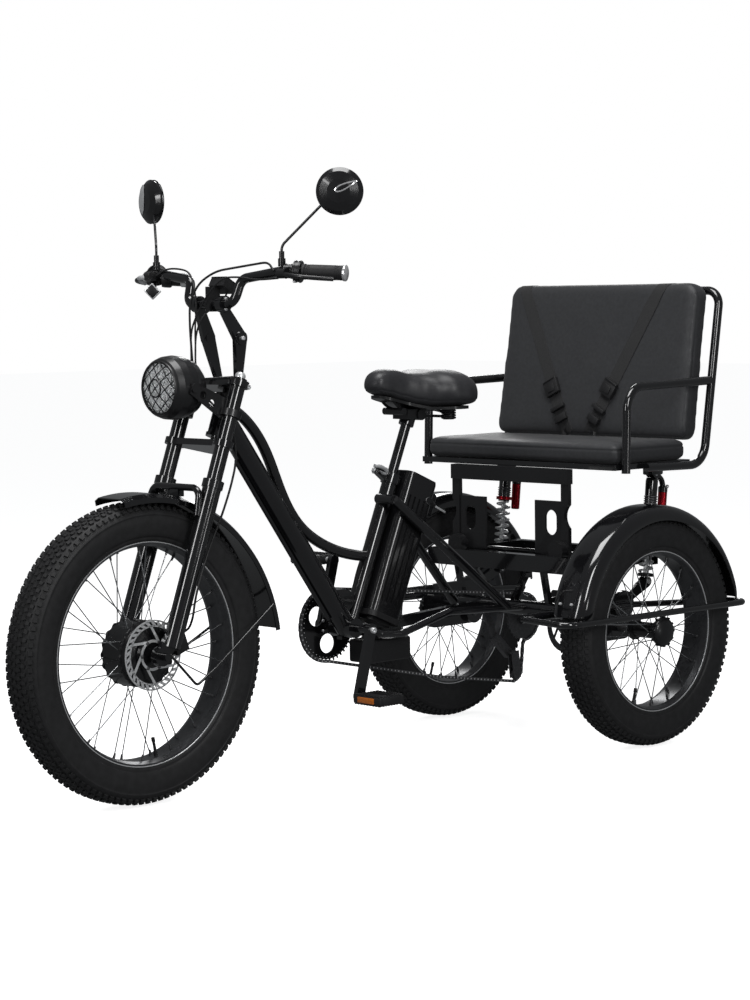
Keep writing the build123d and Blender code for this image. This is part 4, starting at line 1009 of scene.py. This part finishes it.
def pedal(name, node, side):
    """Cage pedal with a toothed rim and amber reflectors."""
    low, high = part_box(node)
    y, z = (low.y + high.y) / 2, (low.z + high.z) / 2
    made = Shape()
    inner, outer = side * 0.106, side * 0.2
    for edge in (-1, 1):
        made.block(mm(92, 9, 19), move((side * 0.153, y + edge * 0.035, z)), 0, 0.002)
        made.block(mm(56, 2.4, 14), move((side * 0.15, y + edge * 0.0393, z)), 1, 0.0008)
        for n in range(9):
            for top in (-1, 1):
                spot = (side * (0.113 + 0.01 * n), y + edge * 0.035, z + top * 0.0108)
                made.block(mm(5, 8, 3), move(spot), 0, 0.0008)
    for x in (inner + side * 0.005, outer - side * 0.005):
        made.block(mm(9, 64, 19), move((x, y, z)), 0, 0.002)
        for n in range(-3, 4):
            for top in (-1, 1):
                made.block(mm(8, 4, 3), move((x, y + 0.009 * n, z + top * 0.0102)), 0, 0.0008)
    made.block(mm(88, 22, 17), move((side * 0.153, y, z)), 0, 0.003)
    made.lathe([(0.093, 0.0068), (0.107, 0.0068)], 18, 2,
               move((0, y, z)) @ Matrix.Scale(side, 4, (1, 0, 0)))
    made.piece(name, [PLASTIC, AMBER, STEEL], node, "plastic", [node])


for side, word in SIDES:
    pedal(f"pedal_body_{word}", f"pedal_{word}", side)


# ---------- mudguards
def mudguard(word, centre, radius, first, last, width, skirt):
    """Crowned rear mudguard whose skirt is deep in front and shallow behind."""
    made, half, thick = Shape(), width / 2, 0.0022
    rows = []
    steps = round((last - first) / 3)
    for i in range(steps + 1):
        share = i / steps
        a = radians(first + (last - first) * share)
        depth = level_curve([(0, skirt), (0.55, skirt * 0.9), (1, skirt * 0.4)], share)
        pull = level_curve([(0, 0.9), (0.03, 1.0), (0.97, 1.0), (1, 0.94)], share)
        outer = [(half * pull * sin(n * pi / 20), radius - depth * abs(n / 10) ** 3.2)
                 for n in range(-10, 11)]
        ring = [(x, r + thick) for x, r in outer] + [(x * 0.975, r) for x, r in reversed(outer)]
        rows.append([centre + Vector((x, -r * cos(a), r * sin(a))) for x, r in ring])
    made.grid(rows, 0, close_u=True, cap=True)
    for a in (radians(last - 6), radians(first + 6)):
        out = Vector((0, -cos(a), sin(a)))
        for off in (-0.018, 0.018):
            bolt_head(made, centre + (radius + 0.002) * out + Vector((off, 0, 0)), out, 0.0036)
    made.piece(f"mudguard_{word}", [GLOSS, STEEL], "frame", "frame_paint", [f"fender_{word}"], sharp=50)


for side, word in SIDES:
    mudguard(word, Vector((side * X_REAR, Y_REAR, Z_REAR)), 0.315, 11, 169, 0.111, 0.04)


# ---------- small parts of the drive and battery
def cassette():
    """Teeth of the rear sprockets on the left half shaft."""
    made = Shape()
    for gear in range(7):
        radius, x = 0.0575 - 0.005 * gear, CHAIN_X - 0.005 * gear
        count = round(2 * pi * radius / CHAIN_PITCH)
        for n in range(count):
            a = 2 * pi * n / count
            place = Vector((x, Y_REAR, Z_REAR)) + around(radius, a)
            made.block((0.0016, 0.0062, 0.005), move(place) @ spin(a, "X"), 0, 0.0005)
    made.piece("cassette_teeth", [DARK_STEEL], "rear_wheel_left", "steel")


def battery_fittings():
    """Key in the battery's lock and the ring round its socket."""
    made = Shape()
    foot, tip = mm(34, 236, 630), mm(30, 262, 618)
    made.lathe([(0, 0.011), (0.006, 0.0112), (0.012, 0.0092), (0.026, 0.006), (0.0285, 0.004)], 20, 0,
               along(foot, tip))
    made.block(mm(46, 1.6, 5.2), along(tip, mm(26, 318, 592)) @ move(mm(22, 0, 0)), 1, 0.0006)
    ring = along(mm(45.4, 226, 634), mm(46.4, 226, 634))
    made.lathe([(0, 0.0092), (0.0012, 0.0094), (0.0016, 0.006), (0.001, 0.0052)], 24, 1, ring)
    made.block(mm(1.4, 8, 1.6), ring @ move(mm(1.4, 0, 0)), 0, 0.0003)
    made.piece("battery_fittings", [PLASTIC, STEEL], "frame", "plastic")


def seat(x, back, up):
    """Point across, behind and along the seat tube, in millimetres."""
    return mm(x, -8 + 0.921 * back + 0.389 * up, 340 - 0.389 * back + 0.921 * up)


def quick_release():
    """Bright cam lever and nut of the seat clamp."""
    made = Shape()
    made.tube([seat(-16, -44, 386), seat(25, -44, 386)], 0.0056, 14, 0)
    lever = [seat(24, -44, 386), seat(27, -58, 389), seat(28, -74, 388), seat(26, -88, 384)]
    made.tube(smooth(lever, 4), 0.005, 12, 0)
    made.lathe([(0, 0.0088), (0.002, 0.0094), (0.009, 0.0094), (0.011, 0.007)], 20, 0,
               along(seat(14, -44, 386), seat(25, -44, 386)))
    made.lathe([(0, 0.008), (0.008, 0.008), (0.01, 0.006)], 6, 0,
               along(seat(-12, -44, 386), seat(-22, -44, 386)))
    made.piece("seat_quick_release", [STEEL], "frame", "steel")


cassette()
battery_fittings()
quick_release()
